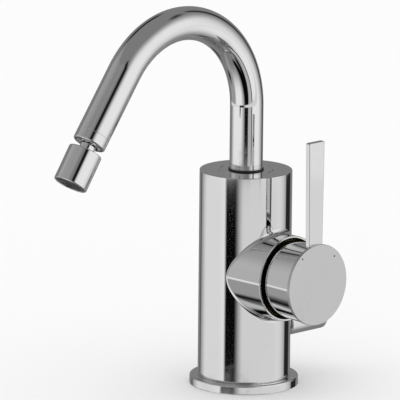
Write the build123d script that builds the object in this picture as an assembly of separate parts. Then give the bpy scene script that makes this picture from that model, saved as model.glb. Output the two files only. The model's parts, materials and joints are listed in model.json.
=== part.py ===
from build123d import *
import math
import os

# Bidet mixer. Millimetres, +Z up, origin at the centre of the underside of the base.
# The spout points to -Y, the handle to +X and the waste control to +Y.

# Shared fits
fit_gap = 0.1
pin_gap = 0.05
free_gap = 0.3
cut_overrun = 1.0
match_tolerance = 0.001

# Base flange, with its gasket, and the brass block inside it
base_lip = 4.4
base_height = 5.0
base_bevel = 0.9
spigot_height = 4.0
gasket_margin = 2.4
gasket_width = 3.5
gasket_thickness = 1.5
block_clearance = 3.4
block_height = 16.0
stud_hole_radius = 3.4
stud_hole_depth = 10.0
stud_hole_x = 11.0
inlet_radius = 4.5
inlet_depth = 10.0
inlet_x = -9.0
inlet_y = 8.0
link_hole_radius = 2.6

# Body shell: upright column and side sleeve
column_radius = 25.0
column_wall = 2.2
column_bevel = 0.3
joint_chamfer = 0.5
top_wall = 6.0
ledge_height = 3.0
ledge_width = 0.8
sleeve_radius = 23.2
sleeve_bore_radius = 22.0
sleeve_reach = 34.0
sleeve_rim_bevel = 0.35
saddle_radius = 2.5
rear_axis_height = 28.0
side_axis_rise = 35.3
key_hole_radius = 2.2

# Pipes inside the column
inlet_pipe_radius = 4.0
inlet_pipe_bore_radius = 3.0
inlet_socket_depth = 4.0
outlet_pipe_radius = 4.4
outlet_pipe_bore_radius = 3.2
outlet_x = -6.0
outlet_socket_depth = 6.0

# Valve body
valve_radius = 21.7
valve_rear_reach = 22.0
valve_front = 26.5
inlet_pipe_drop = 13.3
port_radius = 3.0
inlet_port_rise = 5.3
outlet_port_drop = 7.7

# Cartridge, placed along the handle axis from its seat
seat_x = 3.0
cartridge_radius = 17.5
seal_thickness = 1.2
seal_stand_out = 0.4
seal_wall = 1.1
cartridge_base_thickness = 4.1
ceramic_disc_thickness = 3.4
ceramic_disc_radius = 15.5
ceramic_film = 0.1
moving_disc_radius = 12.0
moving_disc_rest_drop = 2.0
mixing_depth = 1.6
mixing_bar_width = 18.0
mixing_bar_height = 5.0
mixing_bar_drop = 1.7
mixing_round_radius = 5.0
mixing_round_drop = 6.5
driver_thickness = 4.0
cartridge_wall = 1.8
shoulder_x = 22.2
neck_radius = 14.8
neck_front = 36.0
neck_front_wall = 2.0
neck_bore_radius = 12.6
snout_radius = 9.2
snout_front = 37.0
carrier_flange_thickness = 1.5
carrier_ring_x = 28.0
carrier_ring_thickness = 1.5
carrier_ring_depth = 1.1
nut_radius = 20.0
nut_thickness = 4.0

# Stem, with its pin and slot
pivot_x = 33.0
pin_radius = 1.25
pin_length = 17.0
stem_width = 7.0
stem_boss_radius = 4.2
stem_tail_radius = 3.0
stem_tip_radius = 1.5
stem_ball_radius = 2.0
stem_ball_x = 16.8
stem_front = 49.0
slot_down = 5.2
slot_up = 6.2

# Handle
hub_rear = 32.0
hub_rear_radius = 20.25
hub_front_radius = 21.85
hub_wall = 1.8
web_thickness = 4.0
hub_boss_radius = 7.0
hub_boss_length = 6.0
hub_bevel = 0.4
face_front = 55.0
face_lip = 0.15
face_thickness = 1.8
face_bevel = 0.3
lever_thickness = 3.2
lever_seat_depth = 8.1
lever_length = 66.0
lever_foot_width = 9.8
lever_top_width = 11.6
lever_corner_radius = 0.8
lever_edge_radius = 0.3
grub_screw_radius = 2.0
grub_screw_length = 4.0

# Spout socket, above the valve body, and the foot that turns in it
socket_gap = 7.0
socket_flange_radius = 14.3
socket_depth = 26.0
socket_floor = 4.0
foot_play = 0.35
collar_chamfer = 0.2
foot_lip = 0.25
foot_depth = 21.0
foot_wall = 3.75
foot_shoulder_depth = 0.4
foot_spigot_height = 9.0
groove_drop = 8.0
groove_width = 3.2
groove_depth = 1.6
spout_turn = 60.0
lock_screw_radius = 2.0
lock_tip_radius = 1.3
foot_ring_thickness = 1.7
foot_ring_depth = 1.4
lower_ring_drop = 17.5
upper_ring_drop = 13.0
glide_ring_lip = 0.6
glide_ring_thickness = 0.75

# Spout tube
tube_radius = 9.0
tube_wall = 1.0
bend_start_rise = 35.2
bend_radius = 51.0
bend_turn = 143.6
straight_length = 37.9

# End ring and ball joint, placed along the spout from the end of its bend
end_ring_length = 5.9
end_ring_bevel = 0.9
end_spigot_length = 5.9
ball_radius = 6.4
ball_ahead = 1.0
throat_radius = 5.7
flare_radius = 7.0
ball_neck_radius = 4.3
ball_bore_radius = 2.8
ball_seal_radius = 6.4
ball_seal_bore_radius = 4.2
ball_seal_thickness = 1.6
ball_seal_ahead = 0.2

# Aerator, placed along its own axis from the centre of the ball
aerator_rest_tilt = 2.0
aerator_start = 8.8
aerator_length = 20.0
aerator_radius = 9.25
aerator_bore_radius = 7.9
aerator_top_wall = 2.5
aerator_top_bevel = 0.5
aerator_rim_bevel = 0.4
aerator_gasket_thickness = 1.5
insert_recess = 1.2
insert_wall = 1.1
insert_plate = 3.0
insert_jet_radius = 0.8
insert_jet_count = 6
grille_depth = 3.0
grille_bar = 0.8
grille_ring_count = 3
grille_rib_count = 6

# Waste control at the rear
bush_radius = 8.0
bush_length = 8.8
bush_stand_out = 1.8
waste_pivot_setback = 3.3
waste_ball_radius = 4.6
waste_rod_radius = 2.0
retainer_thickness = 1.6
retainer_bore_radius = 3.5
waste_knob_radius = 7.0
waste_knob_gap = 4.2
waste_knob_length = 27.0
waste_knob_socket_depth = 14.0
waste_knob_bevel = 0.7
link_y = 6.0
tang_radius = 3.0
tang_thickness = 3.0
tang_reach = 4.2
link_pin_radius = 1.0
fork_ear_thickness = 1.5
fork_ear_gap = 0.15
fork_drop = 6.2
fork_bridge_thickness = 2.4
link_rod_radius = 1.5
link_rod_bottom = 4.8

# Sizes of the base and places of the waste control, worked out from the column
base_radius = column_radius + base_lip
gasket_outer_radius = base_radius - gasket_margin
gasket_inner_radius = gasket_outer_radius - gasket_width
block_radius = column_radius - column_wall - block_clearance
bush_outer = column_radius + bush_stand_out
bush_inner = bush_outer - bush_length
waste_pivot_y = bush_outer - waste_pivot_setback
waste_knob_inner = bush_outer + waste_knob_gap
waste_knob_outer = waste_knob_inner + waste_knob_length
waste_rod_outer = waste_knob_inner + waste_knob_socket_depth

# Sizes of the spout foot and the handle face, worked out from the tube and the hub
foot_radius = tube_radius + foot_lip
foot_bore_radius = foot_radius - foot_wall
socket_bore_radius = foot_radius + foot_play
glide_ring_radius = tube_radius + glide_ring_lip
face_radius = hub_front_radius + face_lip

# Heights up the column, worked out from the waste control upwards
side_axis_height = rear_axis_height + side_axis_rise
inlet_pipe_top = side_axis_height - inlet_pipe_drop
socket_bottom = side_axis_height + valve_radius + socket_gap
column_height = socket_bottom + socket_depth
bend_start_height = column_height + bend_start_rise

# Places along the handle axis, worked out from the seat outwards
base_back = seat_x + seal_stand_out
base_front = base_back + cartridge_base_thickness
fixed_disc_front = base_front + ceramic_disc_thickness
moving_disc_back = fixed_disc_front + ceramic_film
moving_disc_front = moving_disc_back + ceramic_disc_thickness
driver_back = moving_disc_front + ceramic_film
driver_front = driver_back + driver_thickness
carrier_back = driver_front + free_gap
carrier_flange_front = carrier_back + carrier_flange_thickness
housing_bore_radius = cartridge_radius - cartridge_wall
carrier_neck_front = neck_front - neck_front_wall - free_gap
carrier_neck_radius = neck_bore_radius - free_gap
web_front = face_front - face_thickness - lever_thickness
web_back = web_front - web_thickness
hub_front = face_front - face_thickness
grub_screw_x = web_back - hub_boss_length / 2

# Planes whose Z axis is the axis of the pieces drawn on them
side_plane = Plane(origin=(0, 0, side_axis_height), x_dir=(0, 1, 0), z_dir=(1, 0, 0))
rear_plane = Plane(origin=(0, 0, rear_axis_height), x_dir=(-1, 0, 0), z_dir=(0, 1, 0))
bend_angle = math.radians(bend_turn)
bend_end = Vector(
    0,
    -bend_radius * (1 - math.cos(bend_angle)),
    bend_start_height + bend_radius * math.sin(bend_angle),
)
spout_direction = Vector(0, -math.sin(bend_angle), math.cos(bend_angle))
spout_plane = Plane(origin=bend_end, x_dir=(1, 0, 0), z_dir=spout_direction)
ball_centre = bend_end + spout_direction * (straight_length + ball_ahead)
aerator_angle = math.radians(bend_turn + aerator_rest_tilt)
aerator_plane = Plane(
    origin=ball_centre,
    x_dir=(1, 0, 0),
    z_dir=(0, -math.sin(aerator_angle), math.cos(aerator_angle)),
)


# Helpers: turned pieces are drawn about Z and placed afterwards
def turned(profile):
    """Solid of revolution about Z through (radius, height) corners."""
    corners = [(radius, 0, height) for radius, height in profile]
    return revolve(make_face(Polyline(*corners, close=True)), Axis.Z)


def rod(radius, low, high):
    """Solid cylinder on Z between two heights."""
    bottom = (Align.CENTER, Align.CENTER, Align.MIN)
    return Pos(0, 0, low) * Cylinder(radius, high - low, align=bottom)


def tube(outer, inner, low, high):
    """Ring on Z between two heights."""
    return turned([(inner, low), (outer, low), (outer, high), (inner, high)])


def block(x_span, y_span, z_span):
    """Box from its two limits along each axis."""
    corner = Pos(x_span[0], y_span[0], z_span[0])
    lengths = [high - low for low, high in (x_span, y_span, z_span)]
    return corner * Box(*lengths, align=(Align.MIN, Align.MIN, Align.MIN))


def circles(solid, radius, height):
    """Circular edges of one radius at one height on Z."""
    round_edges = solid.edges().filter_by(GeomType.CIRCLE)
    return [
        edge
        for edge in round_edges
        if math.isclose(edge.radius, radius, abs_tol=match_tolerance)
        and math.isclose(edge.arc_center.Z, height, abs_tol=match_tolerance)
    ]


def chord_height(radius, offset):
    """Height of a circle above its centre at a sideways offset."""
    return math.sqrt(radius**2 - offset**2)


def save(shape, name):
    """Write one piece under its own name."""
    shape.label = name
    export_step(shape, f"parts/{name}.step")


# Base
def make_base_flange():
    bore = block_radius + fit_gap
    spigot_radius = column_radius - column_wall - fit_gap
    groove_inner = gasket_inner_radius - fit_gap
    groove_outer = gasket_outer_radius + fit_gap
    return turned(
        [
            (bore, 0),
            (groove_inner, 0),
            (groove_inner, gasket_thickness),
            (groove_outer, gasket_thickness),
            (groove_outer, 0),
            (base_radius, 0),
            (base_radius, base_height - base_bevel),
            (base_radius - base_bevel, base_height),
            (spigot_radius, base_height),
            (spigot_radius, base_height + spigot_height),
            (bore, base_height + spigot_height),
        ]
    )


def make_base_gasket():
    return tube(gasket_outer_radius, gasket_inner_radius, 0, gasket_thickness)


def make_base_block():
    body = rod(block_radius, 0, block_height)
    body -= Pos(stud_hole_x, 0) * rod(stud_hole_radius, -cut_overrun, stud_hole_depth)
    body -= Pos(0, link_y) * rod(link_hole_radius, -cut_overrun, block_height + cut_overrun)
    for side in (-1, 1):
        place = Pos(inlet_x, side * inlet_y)
        body -= place * rod(inlet_radius, -cut_overrun, inlet_depth)
        body -= place * rod(inlet_pipe_bore_radius, 0, block_height)
        socket = rod(inlet_pipe_radius + fit_gap, block_height - inlet_socket_depth, block_height + cut_overrun)
        body -= place * socket
    return body


# Body shell
def make_body_shell():
    inner_radius = column_radius - column_wall
    column = rod(column_radius, base_height, column_height)
    column = chamfer(circles(column, column_radius, base_height), joint_chamfer)
    column = chamfer(circles(column, column_radius, column_height), column_bevel)
    outside = column + side_plane * rod(sleeve_radius, 0, sleeve_reach)
    saddle = outside.edges().filter_by(GeomType.BSPLINE)
    outside = fillet(saddle, saddle_radius)
    hole_radius = socket_flange_radius + fit_gap
    cavity = rod(inner_radius, base_height - cut_overrun, column_height - top_wall)
    top_hole = turned(
        [
            (0, column_height - top_wall - cut_overrun),
            (hole_radius - ledge_width, column_height - top_wall - cut_overrun),
            (hole_radius - ledge_width, column_height - ledge_height),
            (hole_radius, column_height - ledge_height),
            (hole_radius, column_height - collar_chamfer),
            (hole_radius + collar_chamfer, column_height),
            (hole_radius + collar_chamfer, column_height + cut_overrun),
            (0, column_height + cut_overrun),
        ]
    )
    sleeve_bore = side_plane * rod(sleeve_bore_radius, 0, sleeve_reach + cut_overrun)
    bush_hole = rear_plane * rod(bush_radius + pin_gap, 0, column_radius + cut_overrun)
    key_plane = Plane(origin=(0, 0, column_height - groove_drop), z_dir=(0, 1, 0))
    key_hole = key_plane * rod(key_hole_radius, 0, column_radius + cut_overrun)
    shell = outside - cavity - top_hole - sleeve_bore - bush_hole - key_hole
    rim = [
        edge
        for edge in shell.edges().filter_by(GeomType.CIRCLE)
        if math.isclose(edge.arc_center.X, sleeve_reach, abs_tol=match_tolerance)
    ]
    return chamfer(rim, sleeve_rim_bevel)


# Pipes and valve body
def make_inlet_pipe(side):
    low = block_height - inlet_socket_depth
    return Pos(inlet_x, side * inlet_y) * tube(
        inlet_pipe_radius, inlet_pipe_bore_radius, low, inlet_pipe_top
    )


def outlet_pipe_bottom():
    """Height at which the outlet pipe stands in the valve body."""
    return side_axis_height + valve_radius - outlet_socket_depth


def make_outlet_pipe():
    top = socket_bottom + socket_floor
    return Pos(outlet_x) * tube(
        outlet_pipe_radius, outlet_pipe_bore_radius, outlet_pipe_bottom(), top
    )


def make_valve_body():
    rear = side_plane * rod(valve_radius, -valve_rear_reach, 0)
    rear &= rod(column_radius - column_wall - free_gap, 0, column_height)
    body = rear + side_plane * rod(valve_radius, 0, valve_front)
    chamber = rod(cartridge_radius + 2 * fit_gap, seat_x, shoulder_x)
    thread = rod(nut_radius + fit_gap, shoulder_x, valve_front + cut_overrun)
    body -= side_plane * (chamber + thread)
    inlet_height = side_axis_height + inlet_port_rise
    outlet_height = side_axis_height - outlet_port_drop
    for side in (-1, 1):
        place = Pos(inlet_x, side * inlet_y)
        body -= place * rod(inlet_pipe_radius + fit_gap, block_height, inlet_pipe_top)
        body -= place * rod(inlet_pipe_bore_radius, block_height, inlet_height)
        body -= side_plane * Pos(side * inlet_y, inlet_port_rise) * rod(port_radius, inlet_x, seat_x)
    body -= side_plane * Pos(0, -outlet_port_drop) * rod(port_radius, outlet_x, seat_x)
    body -= Pos(outlet_x) * rod(outlet_pipe_bore_radius, outlet_height, column_height)
    body -= Pos(outlet_x) * rod(outlet_pipe_radius + fit_gap, outlet_pipe_bottom(), column_height)
    return body


# Cartridge
def port_places():
    """Centres of the two inlet ports and the outlet port, across the handle axis."""
    return [
        Pos(-inlet_y, inlet_port_rise),
        Pos(inlet_y, inlet_port_rise),
        Pos(0, -outlet_port_drop),
    ]


def with_ports(piece, low, high):
    """Piece with the three water ports cut between two places on its axis."""
    for place in port_places():
        piece -= place * rod(port_radius, low - cut_overrun, high + cut_overrun)
    return piece


def make_cartridge_seals():
    ring = tube(port_radius + seal_wall, port_radius, seat_x, seat_x + seal_thickness)
    return side_plane * Compound(children=[place * ring for place in port_places()])


def make_cartridge_base():
    base = with_ports(rod(cartridge_radius, base_back, base_front), base_back, base_front)
    recess_front = seat_x + seal_thickness
    for place in port_places():
        base -= place * rod(port_radius + seal_wall + fit_gap, base_back - cut_overrun, recess_front)
    return side_plane * base


def make_fixed_ceramic_disc():
    disc = rod(ceramic_disc_radius, base_front, fixed_disc_front)
    return side_plane * with_ports(disc, base_front, fixed_disc_front)


def make_moving_ceramic_disc():
    disc = Pos(0, -moving_disc_rest_drop) * rod(moving_disc_radius, moving_disc_back, moving_disc_front)
    bar = Pos(0, -mixing_bar_drop) * SlotOverall(mixing_bar_width, mixing_bar_height)
    round_part = Pos(0, -mixing_round_drop) * Circle(mixing_round_radius)
    chamber = extrude(Pos(0, 0, moving_disc_back) * (bar + round_part), mixing_depth)
    return side_plane * (disc - chamber)


def make_disc_driver():
    driver = Pos(0, -moving_disc_rest_drop) * rod(moving_disc_radius, driver_back, driver_front)
    pocket = rod(stem_ball_radius + 2 * free_gap, driver_back - cut_overrun, driver_front + cut_overrun)
    return side_plane * (driver - pocket)


def make_cartridge_housing():
    bore_front = carrier_flange_front + free_gap
    opening = snout_radius + free_gap
    housing = turned(
        [
            (housing_bore_radius, base_front),
            (cartridge_radius, base_front),
            (cartridge_radius, shoulder_x),
            (neck_radius, shoulder_x),
            (neck_radius, neck_front),
            (opening, neck_front),
            (opening, neck_front - neck_front_wall),
            (neck_bore_radius, neck_front - neck_front_wall),
            (neck_bore_radius, bore_front),
            (housing_bore_radius, bore_front),
        ]
    )
    return side_plane * housing


def make_cartridge_nut():
    ring = tube(nut_radius, neck_radius + fit_gap, shoulder_x, shoulder_x + nut_thickness)
    return side_plane * ring


def make_stem_carrier():
    groove_radius = carrier_neck_radius - carrier_ring_depth
    body = turned(
        [
            (0, carrier_back),
            (housing_bore_radius - free_gap, carrier_back),
            (housing_bore_radius - free_gap, carrier_flange_front),
            (carrier_neck_radius, carrier_flange_front),
            (carrier_neck_radius, carrier_ring_x),
            (groove_radius, carrier_ring_x),
            (groove_radius, carrier_ring_x + carrier_ring_thickness),
            (carrier_neck_radius, carrier_ring_x + carrier_ring_thickness),
            (carrier_neck_radius, carrier_neck_front),
            (snout_radius, carrier_neck_front),
            (snout_radius, snout_front),
            (0, snout_front),
        ]
    )
    half_slot = stem_width / 2 + free_gap
    slot_length = (carrier_back - cut_overrun, snout_front + cut_overrun)
    body -= block((-half_slot, half_slot), (-slot_down, slot_up), slot_length)
    pin_plane = Plane(origin=(0, 0, pivot_x), z_dir=(1, 0, 0))
    body -= pin_plane * rod(pin_radius, -pin_length, pin_length)
    return side_plane * body


def make_carrier_ring():
    inner = carrier_neck_radius - carrier_ring_depth + fit_gap
    outer = neck_bore_radius - pin_gap
    low = carrier_ring_x + pin_gap
    high = carrier_ring_x + carrier_ring_thickness - pin_gap
    shoulder = (outer - inner) / 3
    ring = turned(
        [
            (inner, low),
            (outer - shoulder, low),
            (outer, low + shoulder),
            (outer, high - shoulder),
            (outer - shoulder, high),
            (inner, high),
        ]
    )
    return side_plane * ring


def make_stem_pin():
    pin_plane = Plane(origin=(pivot_x, 0, side_axis_height), z_dir=(0, 1, 0))
    return pin_plane * rod(pin_radius, -pin_length / 2, pin_length / 2)


def make_cartridge_stem():
    half = stem_width / 2
    square = block((-half, half), (-half, half), (pivot_x, stem_front))
    boss_plane = Plane(origin=(0, 0, pivot_x), z_dir=(1, 0, 0))
    boss = boss_plane * rod(stem_boss_radius, -half, half)
    tail_root = pivot_x - stem_boss_radius / 2
    tail_end = stem_ball_x + stem_ball_radius / 2
    tail = turned(
        [(0, tail_end), (stem_tip_radius, tail_end), (stem_tail_radius, tail_root), (0, tail_root)]
    )
    ball = Pos(0, 0, stem_ball_x) * Sphere(stem_ball_radius)
    stem = square + boss + tail + ball
    stem -= boss_plane * rod(pin_radius + pin_gap, -stem_width, stem_width)
    return side_plane * stem


# Handle
def hub_radius_at(place):
    """Outer radius of the tapered hub at a place on the handle axis."""
    slope = (hub_front_radius - hub_rear_radius) / (hub_front - hub_rear)
    return hub_rear_radius + slope * (place - hub_rear)


def lever_foot_height():
    """Height of the lever's foot, which stands inside the wall of the hub."""
    return side_axis_height + hub_radius_at(web_front) - hub_wall - lever_seat_depth


def lever_width_at(height):
    """Width of the tapered lever at a height."""
    slope = (lever_top_width - lever_foot_width) / lever_length
    return lever_foot_width + slope * (height - lever_foot_height())


def make_handle_hub():
    hub = turned(
        [
            (0, web_back - hub_boss_length),
            (hub_boss_radius, web_back - hub_boss_length),
            (hub_boss_radius, web_back),
            (hub_radius_at(web_back) - hub_wall, web_back),
            (hub_rear_radius - hub_wall, hub_rear),
            (hub_rear_radius - hub_bevel, hub_rear),
            (hub_rear_radius, hub_rear + hub_bevel),
            (hub_front_radius, hub_front),
            (hub_front_radius - hub_wall, hub_front),
            (hub_radius_at(web_front) - hub_wall, web_front),
            (0, web_front),
        ]
    )
    half_socket = stem_width / 2 + fit_gap
    socket_length = (web_back - hub_boss_length - cut_overrun, stem_front + fit_gap)
    hub -= block((-half_socket, half_socket), (-half_socket, half_socket), socket_length)
    rim_height = side_axis_height + hub_front_radius
    half_gate = lever_width_at(rim_height) / 2 + fit_gap
    gate_height = (0, hub_front_radius + cut_overrun)
    gate = block((-half_gate, half_gate), gate_height, (web_front, hub_front + cut_overrun))
    below_gate = block((-half_gate, half_gate), (0, hub_boss_radius), (web_front, hub_front))
    hub -= gate - below_gate
    screw_plane = Plane(origin=(0, 0, grub_screw_x), z_dir=(0, -1, 0))
    hub -= screw_plane * rod(grub_screw_radius, 0, hub_front_radius + cut_overrun)
    return side_plane * hub


def make_handle_face():
    face = rod(face_radius, hub_front, face_front)
    return side_plane * chamfer(circles(face, face_radius, face_front), face_bevel)


def make_lever_bar():
    foot = lever_foot_width / 2
    top = lever_top_width / 2
    low = lever_foot_height()
    high = low + lever_length
    outline = Polyline((-foot, low), (foot, low), (top, high), (-top, high), close=True)
    lever_plane = Plane(origin=(web_front, 0, 0), x_dir=(0, 1, 0), z_dir=(1, 0, 0))
    sketch = make_face(outline)
    sketch = fillet(sketch.vertices().group_by(Axis.Y)[-1], lever_corner_radius)
    bar = extrude(lever_plane * sketch, lever_thickness)
    return fillet(bar.edges().group_by(Axis.X)[-1], lever_edge_radius)


def make_handle_grub_screw():
    screw_plane = Plane(origin=(grub_screw_x, 0, side_axis_height), z_dir=(0, 0, -1))
    start = stem_width / 2 + fit_gap
    return screw_plane * rod(grub_screw_radius - fit_gap, start, start + grub_screw_length)


# Spout socket and foot
def make_spout_socket():
    bottom = socket_bottom
    floor = bottom + socket_floor
    body_radius = socket_flange_radius - ledge_width
    socket = turned(
        [
            (0, bottom),
            (body_radius, bottom),
            (body_radius, column_height - ledge_height),
            (socket_flange_radius, column_height - ledge_height),
            (socket_flange_radius, column_height - collar_chamfer),
            (socket_flange_radius - collar_chamfer, column_height),
            (socket_bore_radius, column_height),
            (socket_bore_radius, floor),
            (0, floor),
        ]
    )
    pipe_hole = Pos(outlet_x) * rod(outlet_pipe_radius + fit_gap, bottom - cut_overrun, floor + cut_overrun)
    screw_plane = Plane(origin=(0, 0, column_height - groove_drop), z_dir=(0, 1, 0))
    screw_hole = screw_plane * rod(lock_screw_radius + fit_gap, 0, socket_flange_radius)
    return socket - pipe_hole - screw_hole


def make_spout_lock_screw():
    screw_plane = Plane(origin=(0, 0, column_height - groove_drop), z_dir=(0, 1, 0))
    tip = foot_radius - groove_depth + free_gap
    shoulder = socket_bore_radius + fit_gap
    head = socket_flange_radius - ledge_width
    screw = rod(lock_tip_radius, tip, shoulder) + rod(lock_screw_radius, shoulder, head)
    return screw_plane * screw


def make_spout_foot():
    bottom = column_height - foot_depth
    shoulder = column_height - foot_shoulder_depth
    ring_floor = foot_radius - foot_ring_depth
    spigot = tube_radius - tube_wall - fit_gap
    profile = [(foot_bore_radius, bottom), (foot_radius, bottom)]
    for drop in (lower_ring_drop, upper_ring_drop):
        low = column_height - drop
        profile += [(foot_radius, low), (ring_floor, low)]
        profile += [(ring_floor, low + foot_ring_thickness), (foot_radius, low + foot_ring_thickness)]
    profile += [(foot_radius, shoulder), (spigot, shoulder)]
    profile += [(spigot, column_height + foot_spigot_height)]
    profile += [(foot_bore_radius, column_height + foot_spigot_height)]
    groove_middle = column_height - groove_drop
    groove_arc = 2 * (spout_turn + math.degrees((lock_tip_radius + free_gap) / foot_radius))
    half_width = groove_width / 2
    section = make_face(
        Polyline(
            (foot_radius - groove_depth, 0, groove_middle - half_width),
            (foot_radius + cut_overrun, 0, groove_middle - half_width),
            (foot_radius + cut_overrun, 0, groove_middle + half_width),
            (foot_radius - groove_depth, 0, groove_middle + half_width),
            close=True,
        )
    )
    groove = Rot(0, 0, 90 - groove_arc / 2) * revolve(section, Axis.Z, groove_arc)
    return turned(profile) - groove


def make_spout_foot_rings():
    inner = foot_radius - foot_ring_depth + fit_gap
    outer = socket_bore_radius - pin_gap
    shoulder = (outer - inner) / 3
    rings = []
    for drop in (lower_ring_drop, upper_ring_drop):
        low = column_height - drop + pin_gap
        high = column_height - drop + foot_ring_thickness - pin_gap
        rings.append(
            turned(
                [
                    (inner, low),
                    (outer - shoulder, low),
                    (outer, low + shoulder),
                    (outer, high - shoulder),
                    (outer - shoulder, high),
                    (inner, high),
                ]
            )
        )
    return Compound(children=rings)


def make_glide_ring():
    low = column_height + pin_gap
    inner = tube_radius - tube_wall
    return tube(glide_ring_radius, inner, low, low + glide_ring_thickness)


def make_spout_tube():
    foot = column_height + pin_gap + glide_ring_thickness
    section = Circle(tube_radius) - Circle(tube_radius - tube_wall)
    upright = extrude(Pos(0, 0, foot) * section, bend_start_height - foot)
    bend_axis = Axis((0, -bend_radius, bend_start_height), (1, 0, 0))
    bend = revolve(Pos(0, 0, bend_start_height) * section, bend_axis, bend_turn)
    straight = spout_plane * extrude(section, straight_length)
    return upright + bend + straight


# End of the spout and ball joint
def make_end_ring():
    ring_end = straight_length + end_ring_length
    seat_middle = straight_length + ball_ahead
    seat_radius = ball_radius + free_gap
    throat = seat_middle + chord_height(seat_radius, throat_radius)
    ring = rod(tube_radius, straight_length, ring_end)
    ring = chamfer(circles(ring, tube_radius, ring_end), end_ring_bevel)
    spigot_start = straight_length - end_spigot_length
    ring += rod(tube_radius - tube_wall - fit_gap, spigot_start, straight_length)
    ring -= rod(seat_radius, spigot_start - cut_overrun, seat_middle)
    ring -= Pos(0, 0, seat_middle) * Sphere(seat_radius)
    flare_slope = (flare_radius - throat_radius) / (ring_end - throat)
    ring -= turned(
        [
            (0, throat),
            (throat_radius, throat),
            (flare_radius + flare_slope * cut_overrun, ring_end + cut_overrun),
            (0, ring_end + cut_overrun),
        ]
    )
    return spout_plane * ring


def make_ball_seal():
    start = straight_length - end_spigot_length + ball_seal_ahead
    ring = tube(ball_seal_radius, ball_seal_bore_radius, start, start + ball_seal_thickness)
    return spout_plane * ring


def make_swivel_ball():
    neck_end = aerator_start + aerator_top_wall
    ball = Sphere(ball_radius) + rod(ball_neck_radius, 0, neck_end)
    ball -= rod(ball_bore_radius, -ball_radius - cut_overrun, neck_end + cut_overrun)
    return aerator_plane * ball


# Aerator
def make_aerator_housing():
    end = aerator_start + aerator_length
    housing = rod(aerator_radius, aerator_start, end)
    housing = chamfer(circles(housing, aerator_radius, aerator_start), aerator_top_bevel)
    housing -= rod(ball_neck_radius + fit_gap, aerator_start - cut_overrun, end)
    housing -= rod(aerator_bore_radius, aerator_start + aerator_top_wall, end + cut_overrun)
    rims = circles(housing, aerator_radius, end) + circles(housing, aerator_bore_radius, end)
    return aerator_plane * chamfer(rims, aerator_rim_bevel)


def make_aerator_gasket():
    start = aerator_start + aerator_top_wall
    ring = tube(aerator_bore_radius - fit_gap, ball_neck_radius, start, start + aerator_gasket_thickness)
    return aerator_plane * ring


def make_aerator_insert():
    radius = aerator_bore_radius - 2 * fit_gap
    start = aerator_start + aerator_top_wall + aerator_gasket_thickness
    end = aerator_start + aerator_length - insert_recess
    insert = tube(radius, radius - insert_wall, start, end) + rod(radius, start, start + insert_plate)
    jet_circle = (radius - insert_wall) / 2
    for jet in range(insert_jet_count):
        place = Rot(0, 0, 360 * jet / insert_jet_count) * Pos(jet_circle)
        insert -= place * rod(insert_jet_radius, start - cut_overrun, start + insert_plate + cut_overrun)
    grille_start = end - grille_depth
    ring_pitch = (radius - insert_wall) / (grille_ring_count + 1)
    insert += rod(grille_bar, grille_start, end)
    for ring in range(1, grille_ring_count + 1):
        outer = ring * ring_pitch + grille_bar / 2
        insert += tube(outer, outer - grille_bar, grille_start, end)
    for rib in range(grille_rib_count):
        bar = block((0, radius - insert_wall / 2), (-grille_bar / 2, grille_bar / 2), (grille_start, end))
        insert += Rot(0, 0, 360 * rib / grille_rib_count) * bar
    return aerator_plane * insert


# Waste control
def make_waste_bush():
    bush = rod(bush_radius, bush_inner, bush_outer)
    seat = waste_ball_radius + free_gap
    bush -= rod(seat, bush_inner - cut_overrun, waste_pivot_y)
    bush -= Pos(0, 0, waste_pivot_y) * Sphere(seat)
    return rear_plane * bush


def make_waste_ball_retainer():
    outer = waste_ball_radius + free_gap - fit_gap
    ring = tube(outer, retainer_bore_radius, bush_inner, bush_inner + retainer_thickness)
    return rear_plane * ring


def make_waste_rod():
    tang_end = link_y + tang_reach
    shaft = rear_plane * rod(waste_rod_radius, tang_end, waste_rod_outer)
    ball = rear_plane * Pos(0, 0, waste_pivot_y) * Sphere(waste_ball_radius)
    half = tang_thickness / 2
    rise = waste_rod_radius
    heights = (rear_axis_height - rise, rear_axis_height + rise)
    tang = block((-half, half), (link_y, tang_end + rise), heights)
    eye_plane = Plane(origin=(0, link_y, rear_axis_height), z_dir=(1, 0, 0))
    eye = eye_plane * rod(tang_radius, -half, half)
    lever = shaft + ball + tang + eye
    return lever - eye_plane * rod(link_pin_radius + pin_gap, -tang_radius, tang_radius)


def make_waste_knob():
    knob = rod(waste_knob_radius, waste_knob_inner, waste_knob_outer)
    for end in (waste_knob_inner, waste_knob_outer):
        knob = chamfer(circles(knob, waste_knob_radius, end), waste_knob_bevel)
    knob -= rod(waste_rod_radius + fit_gap, waste_knob_inner - cut_overrun, waste_rod_outer + fit_gap)
    return rear_plane * knob


def make_waste_link():
    inner = tang_thickness / 2 + fork_ear_gap
    outer = inner + fork_ear_thickness
    bridge_top = rear_axis_height - fork_drop + fork_bridge_thickness
    bridge_low = rear_axis_height - fork_drop
    eye_plane = Plane(origin=(0, link_y, rear_axis_height), z_dir=(1, 0, 0))
    width = (link_y - tang_radius, link_y + tang_radius)
    link = block((-outer, outer), width, (bridge_low, bridge_top))
    for side in (-1, 1):
        low, high = sorted((side * inner, side * outer))
        link += eye_plane * rod(tang_radius, low, high)
        link += block((low, high), width, (bridge_low, rear_axis_height))
    link += Pos(0, link_y) * rod(link_rod_radius, link_rod_bottom, bridge_top)
    return link - eye_plane * rod(link_pin_radius, -outer - cut_overrun, outer + cut_overrun)


def make_waste_link_pin():
    half = tang_thickness / 2 + fork_ear_gap + fork_ear_thickness
    eye_plane = Plane(origin=(0, link_y, rear_axis_height), z_dir=(1, 0, 0))
    return eye_plane * rod(link_pin_radius, -half, half)


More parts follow.
